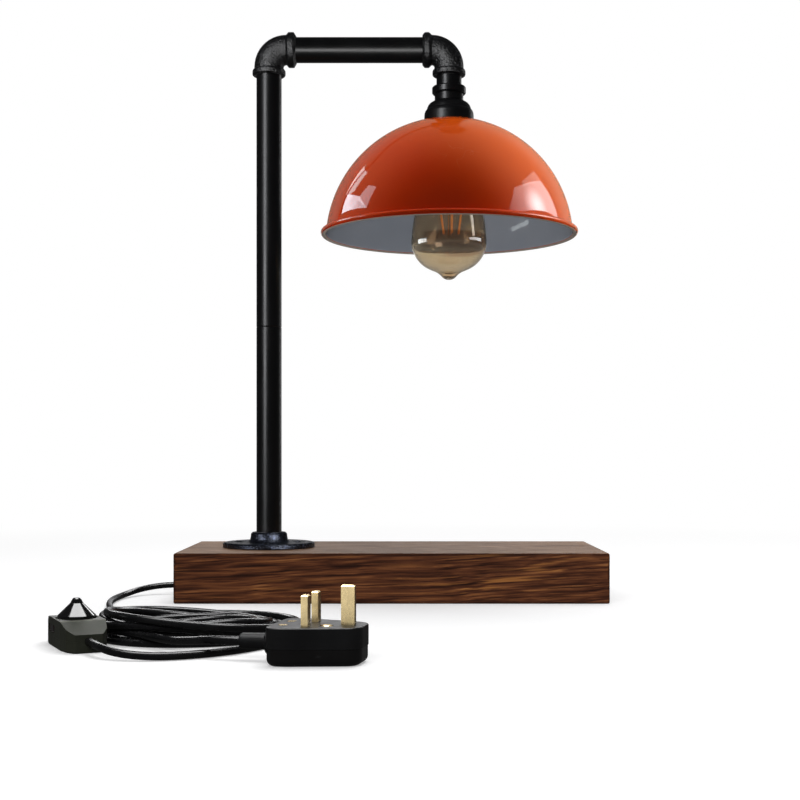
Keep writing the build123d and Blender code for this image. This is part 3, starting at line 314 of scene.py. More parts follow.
# ---------------------------------------------------------------- stained softwood board
def wood():
    m = Mat("wood_board")
    x, y, z = m.xyz()
    # slow wander of the grain along the board, climbing a little to the right
    wander = m.math("SUBTRACT", m.noise(1.0, 3, 0.5, v=m.place((5.0, 9.0, 9.0))), 0.5)
    ripple = m.math("SUBTRACT", m.noise(1.0, 2, 0.5, v=m.place((24.0, 40.0, 40.0), loc=(3, 1, 7))), 0.5)
    drift = m.math("ADD", m.math("MULTIPLY", wander, 0.012), m.math("MULTIPLY", ripple, 0.0016))
    drift = m.math("ADD", drift, m.math("MULTIPLY", x, -0.055))
    along = m.vec(x, m.math("ADD", y, m.math("MULTIPLY", drift, 0.8)), m.math("ADD", z, drift))
    # growth rings about an axis under the board
    yy = m.math("ADD", m.math("SUBTRACT", y, 0.012), m.math("MULTIPLY", x, 0.03))
    zz = m.math("ADD", m.math("ADD", z, 0.055), drift)
    d = m.math("SQRT", m.math("ADD", m.math("MULTIPLY", yy, yy), m.math("MULTIPLY", zz, zz)))
    ring = m.math("FRACT", m.math("MULTIPLY", d, 1.0 / 0.0046))
    # early wood swells slowly, late wood is a thin dark line
    band = m.ramp(ring, [(0.0, (0.55, 0.55, 0.55, 1)), (0.30, (0.85, 0.85, 0.85, 1)), (0.62, (1, 1, 1, 1)), (0.80, (0.25, 0.25, 0.25, 1)), (0.88, (0.0, 0.0, 0.0, 1)), (1.0, (0.55, 0.55, 0.55, 1))])
    fibre = m.noise(1.0, 2, 0.5, v=m.place((20.0, 1000.0, 1000.0), v=along))
    fibre_mid = m.noise(1.0, 1, 0.5, v=m.place((9.0, 620.0, 620.0), loc=(2, 6, 1), v=along))
    fibre_big = m.noise(1.0, 2, 0.5, v=m.place((6.0, 270.0, 270.0), loc=(5, 2, 1), v=along))
    streak = m.noise(1.0, 1, 0.5, v=m.place((8.0, 300.0, 300.0), loc=(1, 8, 4), v=along))
    patch = m.noise(1.0, 2, 0.5, v=m.place((7.0, 22.0, 30.0), loc=(2, 0, 3)))
    tone = m.math("MULTIPLY", band, 0.18)
    tone = m.math("ADD", tone, m.math("MULTIPLY", m.span(fibre_big, 0.34, 0.66), 0.16))
    tone = m.math("ADD", tone, m.math("MULTIPLY", m.span(fibre_mid, 0.34, 0.66), 0.38))
    tone = m.math("ADD", tone, m.math("MULTIPLY", m.span(fibre, 0.32, 0.68), 0.32))
    tone = m.math("ADD", tone, m.math("MULTIPLY", m.span(patch, 0.3, 0.7, -0.08, 0.10), 1.0))
    colour = m.ramp(tone, [(0.14, srgb(40, 20, 13)), (0.38, srgb(68, 36, 22)), (0.60, srgb(96, 54, 32)), (0.80, srgb(124, 75, 43)), (1.0, srgb(156, 102, 60))])
    # golden streaks where the stain took less
    gold = m.math("MULTIPLY", m.span(streak, 0.57, 0.68, soft=True), m.span(fibre_mid, 0.40, 0.62))
    gold = m.math("MULTIPLY", gold, m.span(patch, 0.38, 0.60))
    colour = m.mix(m.math("MULTIPLY", gold, 0.75), colour, srgb(188, 124, 62))
    # dark drawn-out checks along the fibres
    check = m.span(m.noise(1.0, 1, 0.5, v=m.place((9.0, 560.0, 560.0), loc=(7, 3, 9), v=along)), 0.35, 0.28, 0.0, 1.0, soft=True)
    colour = m.mix(m.math("MULTIPLY", check, 0.60), colour, srgb(28, 14, 9))
    # the top face is painted greyer and lighter: a painted sheen, standing in for the light that the top catches
    g = m.put("TexCoord").outputs["Normal"]
    s = m.put("SeparateXYZ", {0: g})
    top = m.span(s.outputs[2], 0.75, 0.98, soft=True)
    painted_top_sheen = m.mix(m.span(tone, 0.1, 0.9), srgb(70, 46, 33), srgb(188, 152, 122))
    colour = m.mix(m.math("MULTIPLY", top, 0.78), colour, painted_top_sheen)
    # end grain drinks more stain
    end = m.span(m.math("ABSOLUTE", s.outputs[0]), 0.8, 0.98, soft=True)
    colour = m.mix(m.math("MULTIPLY", end, 0.55), colour, srgb(44, 24, 16))
    # dark sanded arrises and the odd dent along them
    ay = m.math("ABSOLUTE", y)
    near_y = m.span(ay, 0.0728, 0.0748, soft=True)
    near_z = m.math("MAXIMUM", m.span(z, 0.0376, 0.0396, soft=True), m.span(z, 0.0030, 0.0008, soft=True))
    near_x = m.span(m.math("ABSOLUTE", x), 0.1718, 0.1738, soft=True)
    pairs = m.math("MAXIMUM", m.math("MULTIPLY", near_y, near_z), m.math("MULTIPLY", near_x, m.math("MAXIMUM", near_y, near_z)))
    edge = m.math("MULTIPLY", pairs, m.span(m.noise(90.0, 3, 0.6), 0.30, 0.62, 0.45, 1.0))
    colour = m.mix(m.math("MULTIPLY", edge, 0.72), colour, srgb(30, 16, 11))
    # small dark pores and knots of grime
    pores = m.span(m.cells(1.0, v=m.place((60.0, 900.0, 900.0))), 0.10, 0.22, 1.0, 0.0)
    colour = m.mix(m.math("MULTIPLY", pores, 0.45), colour, srgb(28, 15, 10))
    m.shader(Base_Color=colour, Roughness=m.span(m.math("ADD", tone, m.math("MULTIPLY", top, -0.2)), 0.1, 0.9, 0.62, 0.46))
    h = m.math("ADD", m.math("MULTIPLY", fibre, 0.6), m.math("MULTIPLY", fibre_mid, 0.5))
    h = m.math("SUBTRACT", m.math("SUBTRACT", h, m.math("MULTIPLY", pores, 0.5)), m.math("MULTIPLY", check, 0.6))
    m.shader(Normal=m.bump(h, 0.00035, 0.75))
    m.b.inputs["Specular IOR Level"].default_value = 0.42
    return m


# ---------------------------------------------------------------- iron
def pipe_paint(name="satin_black_pipe", base=(7, 7, 8), rough=0.31):
    m = Mat(name)
    cloud = m.noise(22.0, 3, 0.6)
    peel = m.noise(1300.0, 2, 0.5)
    dust = m.span(m.noise(160.0, 4, 0.7), 0.60, 0.78, soft=True)
    dark = srgb(*base)
    lighter = srgb(base[0] + 7, base[1] + 7, base[2] + 8)
    colour = m.mix(m.span(cloud, 0.35, 0.7, 0.0, 0.5), dark, lighter)
    colour = m.mix(m.math("MULTIPLY", dust, 0.10), colour, srgb(60, 59, 58))
    m.shader(Base_Color=colour, Roughness=m.span(cloud, 0.3, 0.7, rough - 0.035, rough + 0.06))
    m.shader(Normal=m.bump(peel, 0.00004, 0.5))
    m.b.inputs["Specular IOR Level"].default_value = 0.5
    return m


def cast_iron(name, base, rough, grain=620.0, depth=0.00022, metal=0.0, glint=None, lift=16, specks=0.45):
    m = Mat(name)
    cloud = m.noise(60.0, 3, 0.6)
    grit = m.noise(grain, 3, 0.62)
    pits = m.span(m.cells(grain * 0.42), 0.05, 0.30, 0.0, 1.0, soft=True)
    dark, light = srgb(*base), srgb(*[c + lift for c in base])
    colour = m.mix(m.span(cloud, 0.3, 0.72), dark, light)
    # painted glints: light speckles in the base colour over the cast grain, painted highlights
    painted_glint_mask = m.math("MULTIPLY", m.span(grit, 0.57, 0.70), m.span(cloud, 0.40, 0.62))
    colour = m.mix(m.math("MULTIPLY", painted_glint_mask, specks), colour, srgb(*(glint or (74, 74, 78))))
    m.shader(Base_Color=colour, Roughness=m.span(grit, 0.3, 0.7, rough - 0.09, rough + 0.10), Metallic=metal)
    h = m.math("ADD", m.math("MULTIPLY", grit, 0.75), m.math("MULTIPLY", pits, 0.35))
    m.shader(Normal=m.bump(h, depth, 0.85))
    m.b.inputs["Specular IOR Level"].default_value = 0.5
    return m


# ---------------------------------------------------------------- enamel shade
def enamel():
    m = Mat("enamelled_steel_shade")
    q = m.vop("SUBTRACT", m.p, (0.0484, 0.0, 0.2984))
    r = m.vop("LENGTH", q)
    qx, qy, qz = m.xyz(q)
    outside = m.span(r, 0.10455, 0.10465)
    rho = m.math("SQRT", m.math("ADD", m.math("MULTIPLY", qx, qx), m.math("MULTIPLY", qy, qy)))
    inner_roll = m.math("MULTIPLY", m.span(rho, 0.10700, 0.10685), m.span(qz, 0.00820, 0.00805))
    rim_under = m.math("MULTIPLY", m.span(r, 0.1047, 0.1048), m.math("MAXIMUM", inner_roll, m.span(qz, 0.00652, 0.00622)))
    cloud = m.noise(9.0, 3, 0.55)
    fleck = m.noise(420.0, 3, 0.6)
    # painted light: the shoulder and the right side, where the light falls, are painted a lighter, yellower orange than
    # the lower front
    nx, _, nz = m.xyz(m.put("VectorMath", {0: q}, operation="NORMALIZE").outputs[0])
    painted_light_side = m.span(m.math("ADD", m.math("MULTIPLY", nx, 0.50), m.math("MULTIPLY", nz, 0.72)), 0.12, 0.80, soft=True)
    deep = m.mix(m.span(cloud, 0.3, 0.7), srgb(203, 52, 5), srgb(210, 57, 8))
    light = m.mix(m.span(cloud, 0.3, 0.7), srgb(218, 84, 14), srgb(224, 92, 20))
    orange = m.mix(painted_light_side, deep, light)
    orange = m.mix(m.span(fleck, 0.62, 0.82, 0.0, 0.10), orange, srgb(232, 96, 34))
    # hairline scuffs from handling, a few directions, only here and there
    scuff = None
    for k, (rot, stretch) in enumerate([((0.2, 0.5, 0.35), (6, 60, 60)), ((1.1, 0.1, -0.5), (60, 7, 60)), ((0.4, -0.9, 0.9), (5, 70, 50))]):
        line = m.noise(1.0, 2, 0.5, v=m.place(stretch, rot=rot, loc=(k * 3.1, k, 2 * k)))
        line = m.span(m.math("ABSOLUTE", m.math("SUBTRACT", line, 0.5)), 0.0, 0.004, 1.0, 0.0)
        where = m.span(m.noise(16.0, 2, 0.5, v=m.place(loc=(k * 5.0, 1, 2))), 0.56, 0.64)
        one = m.math("MULTIPLY", line, where)
        scuff = one if scuff is None else m.math("MAXIMUM", scuff, one)
    orange = m.mix(m.math("MULTIPLY", scuff, 0.24), orange, srgb(240, 150, 112))
    grey = m.mix(m.span(cloud, 0.3, 0.7), srgb(170, 175, 185), srgb(184, 188, 197))
    grey = m.mix(m.span(m.noise(240.0, 4, 0.7), 0.62, 0.80, 0.0, 0.22), grey, srgb(210, 212, 216))
    beige = m.mix(m.span(fleck, 0.3, 0.7), srgb(172, 158, 146), srgb(192, 180, 166))
    colour = m.mix(outside, grey, orange)
    colour = m.mix(rim_under, colour, beige)
    m.shader(Base_Color=colour, Roughness=m.span(fleck, 0.3, 0.7, 0.30, 0.42))
    wave = m.noise(34.0, 2, 0.5)
    m.shader(Normal=m.bump(wave, 0.0006, 0.25), Coat_Normal=m.bump(m.math("ADD", m.math("MULTIPLY", wave, 0.8), m.math("MULTIPLY", scuff, -0.05)), 0.0006, 0.22))
    m.b.inputs["Coat Weight"].default_value = 1.0
    m.b.inputs["Coat Roughness"].default_value = 0.035
    m.b.inputs["Coat IOR"].default_value = 1.5
    m.b.inputs["Specular IOR Level"].default_value = 0.0
    return m


# ---------------------------------------------------------------- glass
def amber_glass():
    m = Mat("amber_bulb_glass")
    film = m.noise(40.0, 3, 0.55)
    _, _, z = m.xyz()
    # the glass is tinted a little paler up the neck than low in the bowl: painted light, standing in for the pale
    # reflections there
    upper = m.span(z, 0.290, 0.312, soft=True)
    colour = m.mix(m.span(film, 0.3, 0.7), srgb(226, 213, 190), srgb(219, 205, 180))
    colour = m.mix(upper, colour, srgb(230, 214, 190))
    # a painted reflection: a browner band round the front, just over the widest part, where the dark inside of the
    # shade mirrors
    x, y, _ = m.xyz()
    painted_mirror_band = m.math("MULTIPLY", m.span(z, 0.2890, 0.2925, soft=True), m.span(z, 0.3062, 0.3034, soft=True))
    painted_mirror_band = m.math("MULTIPLY", painted_mirror_band, m.span(m.math("SUBTRACT", x, m.math("MULTIPLY", y, 0.35)), 0.028, 0.042, soft=True))
    colour = m.mix(m.math("MULTIPLY", painted_mirror_band, m.span(film, 0.3, 0.6, 0.75, 1.0)), colour, srgb(186, 158, 132))
    # the pulled tip is paler
    tip = m.span(z, 0.2750, 0.2712, soft=True)
    colour = m.mix(tip, colour, srgb(228, 208, 180))
    m.shader(Base_Color=colour, Roughness=m.span(film, 0.35, 0.75, 0.0, 0.025))
    m.b.inputs["Transmission Weight"].default_value = 0.94
    m.shader(Normal=m.bump(m.noise(70.0, 2, 0.5), 0.0004, 0.12))
    m.b.inputs["IOR"].default_value = 1.47
    m.b.inputs["Coat Weight"].default_value = 0.5
    m.b.inputs["Coat Roughness"].default_value = 0.02
    return m


def clear_glass(name, colour, ior=1.5, rough=0.02):
    m = Mat(name)
    film = m.noise(300.0, 3, 0.6)
    m.shader(Base_Color=m.mix(m.span(film, 0.3, 0.7), srgb(*colour), srgb(*[int(c * 0.93) for c in colour])), Roughness=m.span(film, 0.3, 0.8, rough, rough + 0.05))
    m.shader(Normal=m.bump(m.noise(500.0, 2, 0.5), 0.0001, 0.2))
    m.b.inputs["Transmission Weight"].default_value = 0.95
    m.b.inputs["IOR"].default_value = ior
    return m


def filament():
    m = Mat("filament_orange")
    grain = m.noise(900.0, 3, 0.6)
    colour = m.mix(m.span(grain, 0.3, 0.7), srgb(226, 126, 48), srgb(246, 168, 92))
    # the filaments glow faintly: painted light, standing in for the light that reaches them through the glass, as the
    # bulb is not lit
    m.shader(Base_Color=colour, Roughness=0.5, Emission_Color=colour, Emission_Strength=0.32, Normal=m.bump(grain, 0.0001, 0.5))
    return m


# ---------------------------------------------------------------- plastics, rubber, metals
def plastic(name, base, rough, lift=10, texture=1800.0, depth=0.00003, cloud=35.0, scuffs=0.2, coat=0.0, spec=0.5):
    m = Mat(name)
    c = m.noise(cloud, 3, 0.6)
    t = m.noise(texture, 3, 0.55)
    mark = m.math("MULTIPLY", m.span(m.noise(1.0, 3, 0.6, v=m.place((180, 900, 420), rot=(0.3, 0.2, 0.9))), 0.66, 0.74), m.span(c, 0.45, 0.6))
    colour = m.mix(m.span(c, 0.3, 0.7), srgb(*base), srgb(*[min(255, v + lift) for v in base]))
    colour = m.mix(m.math("MULTIPLY", mark, scuffs), colour, srgb(*[min(255, v + 60) for v in base]))
    m.shader(Base_Color=colour, Roughness=m.span(m.math("ADD", m.math("MULTIPLY", t, 0.5), m.math("MULTIPLY", c, 0.5)), 0.35, 0.65, rough - 0.04, rough + 0.07))
    m.shader(Normal=m.bump(t, depth, 0.7))
    m.b.inputs["Specular IOR Level"].default_value = spec
    if coat:
        m.b.inputs["Coat Weight"].default_value = coat
        m.b.inputs["Coat Roughness"].default_value = 0.05
    return m


def metal(name, base, rough, axis=(1, 1, 1), lift=14, depth=0.00002, tarnish=0.25):
    m = Mat(name)
    brush = m.noise(1.0, 4, 0.65, v=m.place(tuple(1400.0 * a for a in axis)))
    c = m.noise(150.0, 3, 0.6)
    colour = m.mix(m.span(brush, 0.3, 0.7), srgb(*base), srgb(*[min(255, v + lift) for v in base]))
    colour = m.mix(m.span(c, 0.52, 0.78, 0.0, tarnish), colour, srgb(*[int(v * 0.55) for v in base]))
    m.shader(Base_Color=colour, Metallic=1.0, Roughness=m.span(m.math("ADD", m.math("MULTIPLY", brush, 0.5), m.math("MULTIPLY", c, 0.5)), 0.35, 0.65, rough - 0.05, rough + 0.10))
    m.shader(Normal=m.bump(brush, depth, 0.6))
    return m


def flex_pvc():
    m = Mat("black_pvc_flex")
    c = m.noise(45.0, 3, 0.6)
    t = m.noise(900.0, 2, 0.5)
    lay = m.noise(160.0, 2, 0.5)
    colour = m.mix(m.span(c, 0.3, 0.7), srgb(10, 10, 11), srgb(21, 21, 22))
    colour = m.mix(m.span(m.noise(320.0, 4, 0.7), 0.66, 0.80, 0.0, 0.25), colour, srgb(62, 62, 62))
    m.shader(Base_Color=colour, Roughness=m.span(c, 0.3, 0.7, 0.20, 0.31))
    m.shader(Normal=m.bump(m.math("ADD", m.math("MULTIPLY", lay, 0.5), m.math("MULTIPLY", t, 0.10)), 0.00005, 0.20))
    m.b.inputs["Specular IOR Level"].default_value = 0.55
    return m


wood_m = wood()
pipe_m = pipe_paint()
elbow_m = cast_iron("cast_black_elbow", (6, 6, 7), 0.36, grain=560.0, depth=0.00110, lift=5, glint=(92, 92, 98))
flange_m = cast_iron("cast_blue_black_flange", (14, 17, 26), 0.30, grain=640.0, depth=0.00060, metal=0.35, glint=(134, 144, 172), specks=0.85)
nipple_m = pipe_paint("satin_black_nipple", (7, 7, 8), 0.30)
cup_m = plastic("black_holder_cup", (7, 7, 8), 0.34, lift=6, texture=1500.0, depth=0.00003, scuffs=0.2)
enamel_m = enamel()
glass_m = amber_glass()
flex_m = flex_pvc()
dimmer_m = plastic("olive_black_dimmer_shell", (36, 38, 29), 0.40, lift=12, texture=2600.0, depth=0.00006, scuffs=0.15, spec=0.5)


def dimmer_marks(m):
    """Painted highlights as light lines along the top arrises, and a plain arc beside the knob that swells as it goes
    round.
    """
    old = m.b.inputs["Base Color"].links[0].from_socket
    # the dimmer's own axes: u along the flex, v across
    q = m.vop("SUBTRACT", m.p, (-0.194, -0.309, 0.0))
    u = m.vop("DOT_PRODUCT", q, (0.44, -0.898, 0.0))
    v = m.vop("DOT_PRODUCT", q, (0.898, 0.44, 0.0))
    _, _, z = m.xyz(q)
    r = m.math("SQRT", m.math("ADD", m.math("MULTIPLY", u, u), m.math("MULTIPLY", v, v)))
    turn = m.math("ARCTAN2", v, m.math("MULTIPLY", u, -1.0))
    half = m.span(turn, 0.35, 2.6, 0.00010, 0.00055)
    arc = m.math("LESS_THAN", m.math("ABSOLUTE", m.math("SUBTRACT", r, 0.01425)), half)
    arc = m.math("MULTIPLY", arc, m.math("MULTIPLY", m.math("GREATER_THAN", turn, 0.35), m.math("LESS_THAN", turn, 2.6)))
    arc = m.math("MULTIPLY", arc, m.math("GREATER_THAN", z, 0.0178))
    # painted highlight: lighter lines along the top arrises
    painted_edge_highlight = m.math("MULTIPLY", m.span(z, 0.01740, 0.01795, soft=True), m.span(z, 0.01799, 0.01797, 0.0, 1.0))
    painted_edge_highlight = m.math("MULTIPLY", painted_edge_highlight, m.span(m.noise(260.0, 3, 0.6), 0.40, 0.62, 0.25, 1.0))
    col = m.mix(m.math("MULTIPLY", painted_edge_highlight, 0.55), old, srgb(122, 122, 108))
    col = m.mix(m.math("MULTIPLY", arc, 0.45), col, srgb(128, 128, 116))
    m.shader(Base_Color=col)


dimmer_marks(dimmer_m)
knob_m = plastic("gloss_black_knob", (12, 12, 12), 0.13, lift=6, texture=700.0, depth=0.00001, scuffs=0.1, coat=0.4)
plug_m = plastic("gloss_black_plug", (11, 10, 10), 0.20, lift=8, texture=900.0, depth=0.00002, scuffs=0.35, coat=0.3)
plug_body_m = plastic("satin_black_plug_back", (16, 16, 17), 0.32, lift=8, texture=2200.0, depth=0.00005, scuffs=0.2)
rubber_m = plastic("black_rubber", (17, 17, 18), 0.52, lift=8, texture=1900.0, depth=0.00006, scuffs=0.1, spec=0.4)
brass_m = metal("cream_brass", (236, 212, 158), 0.26, axis=(1, 1, 0.12), lift=14, depth=0.000006, tarnish=0.12)
brass_in_m = metal("dull_brass", (190, 152, 84), 0.32, tarnish=0.4)
steel_m = metal("zinc_steel", (176, 178, 182), 0.30)
dark_steel_m = metal("blackened_steel_screw", (58, 58, 62), 0.30, lift=24)
cap_m = metal("nickel_cap", (196, 194, 186), 0.24, axis=(1, 1, 3))
wire_m = metal("support_wire", (150, 146, 138), 0.32)
holder_m = plastic("black_phenolic", (22, 20, 19), 0.34)
porcelain_m = plastic("steatite", (206, 200, 188), 0.45, lift=14, scuffs=0.05)
cover_m = plastic("pocket_cover_plastic", (24, 24, 25), 0.48, texture=2400.0, depth=0.00007)
board_m = plastic("green_circuit_board", (24, 74, 42), 0.38, lift=18, texture=600.0)
grey_m = plastic("grey_part", (96, 98, 100), 0.45)
fuse_m = plastic("fuse_ceramic", (222, 214, 198), 0.32, lift=12, scuffs=0.05)
black_glass_m = plastic("black_cap_glass", (12, 11, 14), 0.10, texture=400.0)
stem_m = clear_glass("clear_stem_glass", (232, 224, 206))
window_m = clear_glass("smoky_red_window", (84, 26, 26), 1.49, 0.08)
filament_m = filament()

apply(wood_m, "base_board")
apply(pipe_m, "lower_pipe", "upper_pipe", "arm_pipe")
apply(nipple_m, "drop_nipple", "joining_nipple", "stepped_collar")
apply(elbow_m, "corner_elbow", "head_elbow")
apply(flange_m, "floor_flange")
apply(dark_steel_m, "flange_screws")
apply(cup_m, "holder_cup")
apply(enamel_m, "shade")
apply(glass_m, "bulb_glass")
envelope.data.materials.append(glass_m.m)
apply(stem_m, "bulb_stem")
apply(filament_m, "bulb_filaments")
apply(wire_m, "bulb_support_wires")
apply(cap_m, "bulb_cap")
apply(black_glass_m, "bulb_insulator")
apply(brass_in_m, "bulb_contact", "centre_contact", "screw_shell", "plug_fuse_clips")
apply(steel_m, "terminal_screws", "pocket_cover_screws", "cord_clamp_screws", "dimmer_screws", "dimmer_spindle")
apply(holder_m, "holder_body", "shade_ring")
apply(porcelain_m, "contact_block")
apply(cover_m, "pocket_cover", "cord_clamp")
apply(rubber_m, "exit_bush", "plug_sleeve")
apply(flex_m, "flex_upright", "flex_arm", "flex_head", "flex_dimmer_ends", "flex_plug_end", "cord_lamp_run", "cord_coil", "cord_dimmer_in", "cord_dimmer_out", "cord_plug_run")
apply(dimmer_m, "dimmer_base", "dimmer_cover")
apply(knob_m, "dimmer_knob")
apply(window_m, "dimmer_window")
apply(board_m, "dimmer_pcb")
apply(grey_m, "dimmer_pot", "plug_cord_grip")
apply(plug_m, "plug_cover")
apply(plug_body_m, "plug_body")
apply(brass_m, "plug_pins", "plug_earth_pin", "plug_cover_screw", "plug_grip_screws")
apply(fuse_m, "plug_fuse")
for ob in (flex_a, flex_b):
    ob.data.materials.append(flex_m.m)


# ---------------------------------------------------------------- studio
def only_for(ob, name, receivers):
    """A light that falls on these objects alone."""
    coll = bpy.data.collections.new(name + "_receivers")
    for o in receivers:
        coll.objects.link(o)
    ob.light_linking.receiver_collection = coll


def floor():
    me = bpy.data.meshes.new("studio_floor")
    ring = [(0.0, 0.0, 0.0)]
    n = 96
    radii = [0.6, 1.2, 2.4, 5.0, 12.0, 25.0]
    for rad in radii:
        ring += [(rad * math.cos(2 * math.pi * k / n), rad * math.sin(2 * math.pi * k / n), 0.0) for k in range(n)]
    faces = [(0, 1 + k, 1 + (k + 1) % n) for k in range(n)]
    for j in range(len(radii) - 1):
        a, b = 1 + j * n, 1 + (j + 1) * n
        faces += [(a + k, b + k, b + (k + 1) % n, a + (k + 1) % n) for k in range(n)]
    me.from_pydata(ring, [], faces)
    ob = bpy.data.objects.new("studio_floor", me)
    ob.location = (0.0, -0.1, -0.0001)
    scene.collection.objects.link(ob)
    m = Mat("pale_floor")
    soft = m.noise(3.0, 2, 0.5)
    m.shader(Base_Color=m.mix(soft, (0.86, 0.86, 0.86, 1), (0.89, 0.89, 0.89, 1)), Roughness=0.85)
    m.b.inputs["Specular IOR Level"].default_value = 0.0
    far = m.span(m.vop("LENGTH", m.p), 0.5, 1.3, soft=True)
    glow = m.put("Emission", {0: (1, 1, 1, 1), 1: 1.0}).outputs[0]
    lift = m.put("Emission", {0: (1, 1, 1, 1), 1: 0.36}).outputs[0]
    near = m.put("AddShader", {0: m.b.outputs[0], 1: lift}).outputs[0]
    surface = m.put("MixShader", {0: far, 1: near, 2: glow}).outputs[0]
    # how much of the floor's light the lamp gets back, and how dark its gloss sees it
    path = m.put("LightPath")
    bounce = m.put("Emission", {0: (0.13, 0.13, 0.13, 1), 1: 1.0}).outputs[0]
    dark = m.put("Emission", {0: (0.05, 0.05, 0.05, 1), 1: 1.0}).outputs[0]
    surface = m.put("MixShader", {0: path.outputs["Is Diffuse Ray"], 1: surface, 2: bounce}).outputs[0]
    surface = m.put("MixShader", {0: path.outputs["Is Glossy Ray"], 1: surface, 2: dark}).outputs[0]
    m.t.links.new(surface, m.o.inputs[0])
    me.materials.append(m.m)
    return ob


floor_ob = floor()

world = bpy.data.worlds.new("studio")
scene.world = world
world.use_nodes = True
wt = world.node_tree
wt.nodes.clear()


def wnode(kind, ins=None, **props):
    n = wt.nodes.new("ShaderNode" + kind)
    for k, v in props.items():
        setattr(n, k, v)
    for k, v in (ins or {}).items():
        if isinstance(v, bpy.types.NodeSocket):
            wt.links.new(v, n.inputs[k])
        else:
            n.inputs[k].default_value = v
    return n


wdir = wnode("TexCoord").outputs["Generated"]
wsep = wnode("SeparateXYZ", {0: wdir})
back = wnode("MapRange", {0: wsep.outputs[1], 1: -0.15, 2: 0.55, 3: 0.0, 4: 1.0}, clamp=True, interpolation_type="SMOOTHSTEP").outputs[0]
# low down behind the lamp the gloss sees the pale backdrop, elsewhere a dim room
low_back = wnode("MapRange", {0: wsep.outputs[1], 1: 0.93, 2: 0.985, 3: 0.0, 4: 1.0}, clamp=True, interpolation_type="SMOOTHSTEP").outputs[0]
low = wnode("MapRange", {0: wsep.outputs[2], 1: 0.20, 2: 0.10, 3: 0.0, 4: 1.0}, clamp=True, interpolation_type="SMOOTHSTEP").outputs[0]
seen_low = wnode("Math", {0: low_back, 1: low}, operation="MULTIPLY").outputs[0]
gloss = wnode("Mix", {0: seen_low, 6: (0.030, 0.030, 0.032, 1), 7: (0.80, 0.80, 0.82, 1)}, data_type="RGBA").outputs[2]
diff = wnode("Mix", {0: back, 6: (0.12, 0.12, 0.125, 1), 7: (0.22, 0.22, 0.225, 1)}, data_type="RGBA").outputs[2]
wpath = wnode("LightPath")
env = wnode("Mix", {0: wpath.outputs["Is Glossy Ray"], 6: diff, 7: gloss}, data_type="RGBA").outputs[2]
seen = wnode("Math", {0: wpath.outputs["Is Camera Ray"], 1: wpath.outputs["Is Transmission Ray"]}, operation="MAXIMUM").outputs[0]
full = wnode("Mix", {0: seen, 6: env, 7: (1.0, 1.0, 1.0, 1)}, data_type="RGBA").outputs[2]
wbg = wnode("Background", {0: full, 1: 1.0})
wout = wnode("OutputWorld")
wt.links.new(wbg.outputs[0], wout.inputs[0])


def softbox(name, at, toward, size, radiance, colour=(1, 1, 1), gloss=True, diffuse=True, only=None):
    data = bpy.data.lights.new(name, "AREA")
    data.shape = "RECTANGLE"
    data.size, data.size_y = size
    data.energy = radiance * math.pi * size[0] * size[1]
    data.color = colour
    ob = bpy.data.objects.new(name, data)
    scene.collection.objects.link(ob)
    ob.location = at
    ob.rotation_mode = "QUATERNION"
    ob.rotation_quaternion = (Vector(toward) - Vector(at)).to_track_quat("-Z", "Y")
    ob.visible_glossy = gloss
    ob.visible_diffuse = diffuse
    ob.visible_camera = False
    if only is not None:
        only_for(ob, name, only)
    return ob


HEAD = Vector((0.0484, 0.0, 0.2984))
SHADE = [nodes["shade"]]
# what stands behind the shade doesn't mirror in it, nor the shade in the iron
for n in ("shade", "arm_pipe", "corner_elbow", "upper_pipe", "lower_pipe"):
    nodes[n].visible_glossy = False
IRON = [nodes[n] for n in ("lower_pipe", "upper_pipe", "arm_pipe", "corner_elbow", "head_elbow", "drop_nipple", "stepped_collar", "holder_cup")]
ELBOWS = [nodes["corner_elbow"], nodes["head_elbow"]]
UPRIGHT = [o for o in IRON if o is not nodes["arm_pipe"]]
FLANGE = [nodes["floor_flange"], nodes["flange_screws"]]
ON_FLOOR = [nodes[n] for n in DIMMER + PLUG] + [flex_a, flex_b]
PINS = [nodes[n] for n in ("plug_pins", "plug_earth_pin", "plug_cover_screw", "plug_grip_screws")]
WOOD = [nodes["base_board"]]
BULB = [nodes[n] for n in nodes if n.startswith("bulb_")] + [envelope]
REST = [nodes[n] for n in nodes if n != "shade"] + [flex_a, flex_b, floor_ob]


def steady_dim(m):
    return m.mix(m.span(m.noise(30.0, 2, 0.5), 0.3, 0.7), (0.030, 0.031, 0.034, 1), (0.050, 0.052, 0.056, 1))


def glow_card(name, faces, emission, receivers):
    """A glowing sheet around the lamp, out of the camera's sight, that only some objects see."""
    verts, polys = [], []
    for f in faces:
        polys.append(tuple(range(len(verts), len(verts) + len(f))))
        verts += [tuple(v) for v in f]
    me = bpy.data.meshes.new(name)
    me.from_pydata(verts, [], polys)
    ob = bpy.data.objects.new(name, me)
    scene.collection.objects.link(ob)
    ob.location = HEAD
    m = Mat(name + "_glow")
    m.t.nodes.remove(m.b)
    light = m.put("Emission", {0: emission(m), 1: 1.0}).outputs[0]
    if receivers is None:
        m.t.links.new(light, m.o.inputs[0])
    else:
        clear = m.put("BsdfTransparent").outputs[0]
        m.t.links.new(m.put("AddShader", {0: light, 1: clear}).outputs[0], m.o.inputs[0])
    me.materials.append(m.m)
    ob.visible_camera = ob.visible_shadow = ob.visible_transmission = ob.visible_volume_scatter = False
    if receivers is not None:
        only_for(ob, name, receivers)
    return ob


def sky_faces(rad, rows=14, cols=40, low=-0.05):
    out = []
    for j in range(rows):
        for k in range(cols):
            quad = []
            for dj, dk in ((0, 0), (0, 1), (1, 1), (1, 0)):
                t = low + (math.pi / 2 - low) * (j + dj) / rows
                p = 2 * math.pi * (k + dk) / cols
                quad.append((rad * math.cos(t) * math.cos(p), rad * math.cos(t) * math.sin(p), rad * math.sin(t)))
            out.append(quad if j < rows - 1 else quad[:3])
    return out


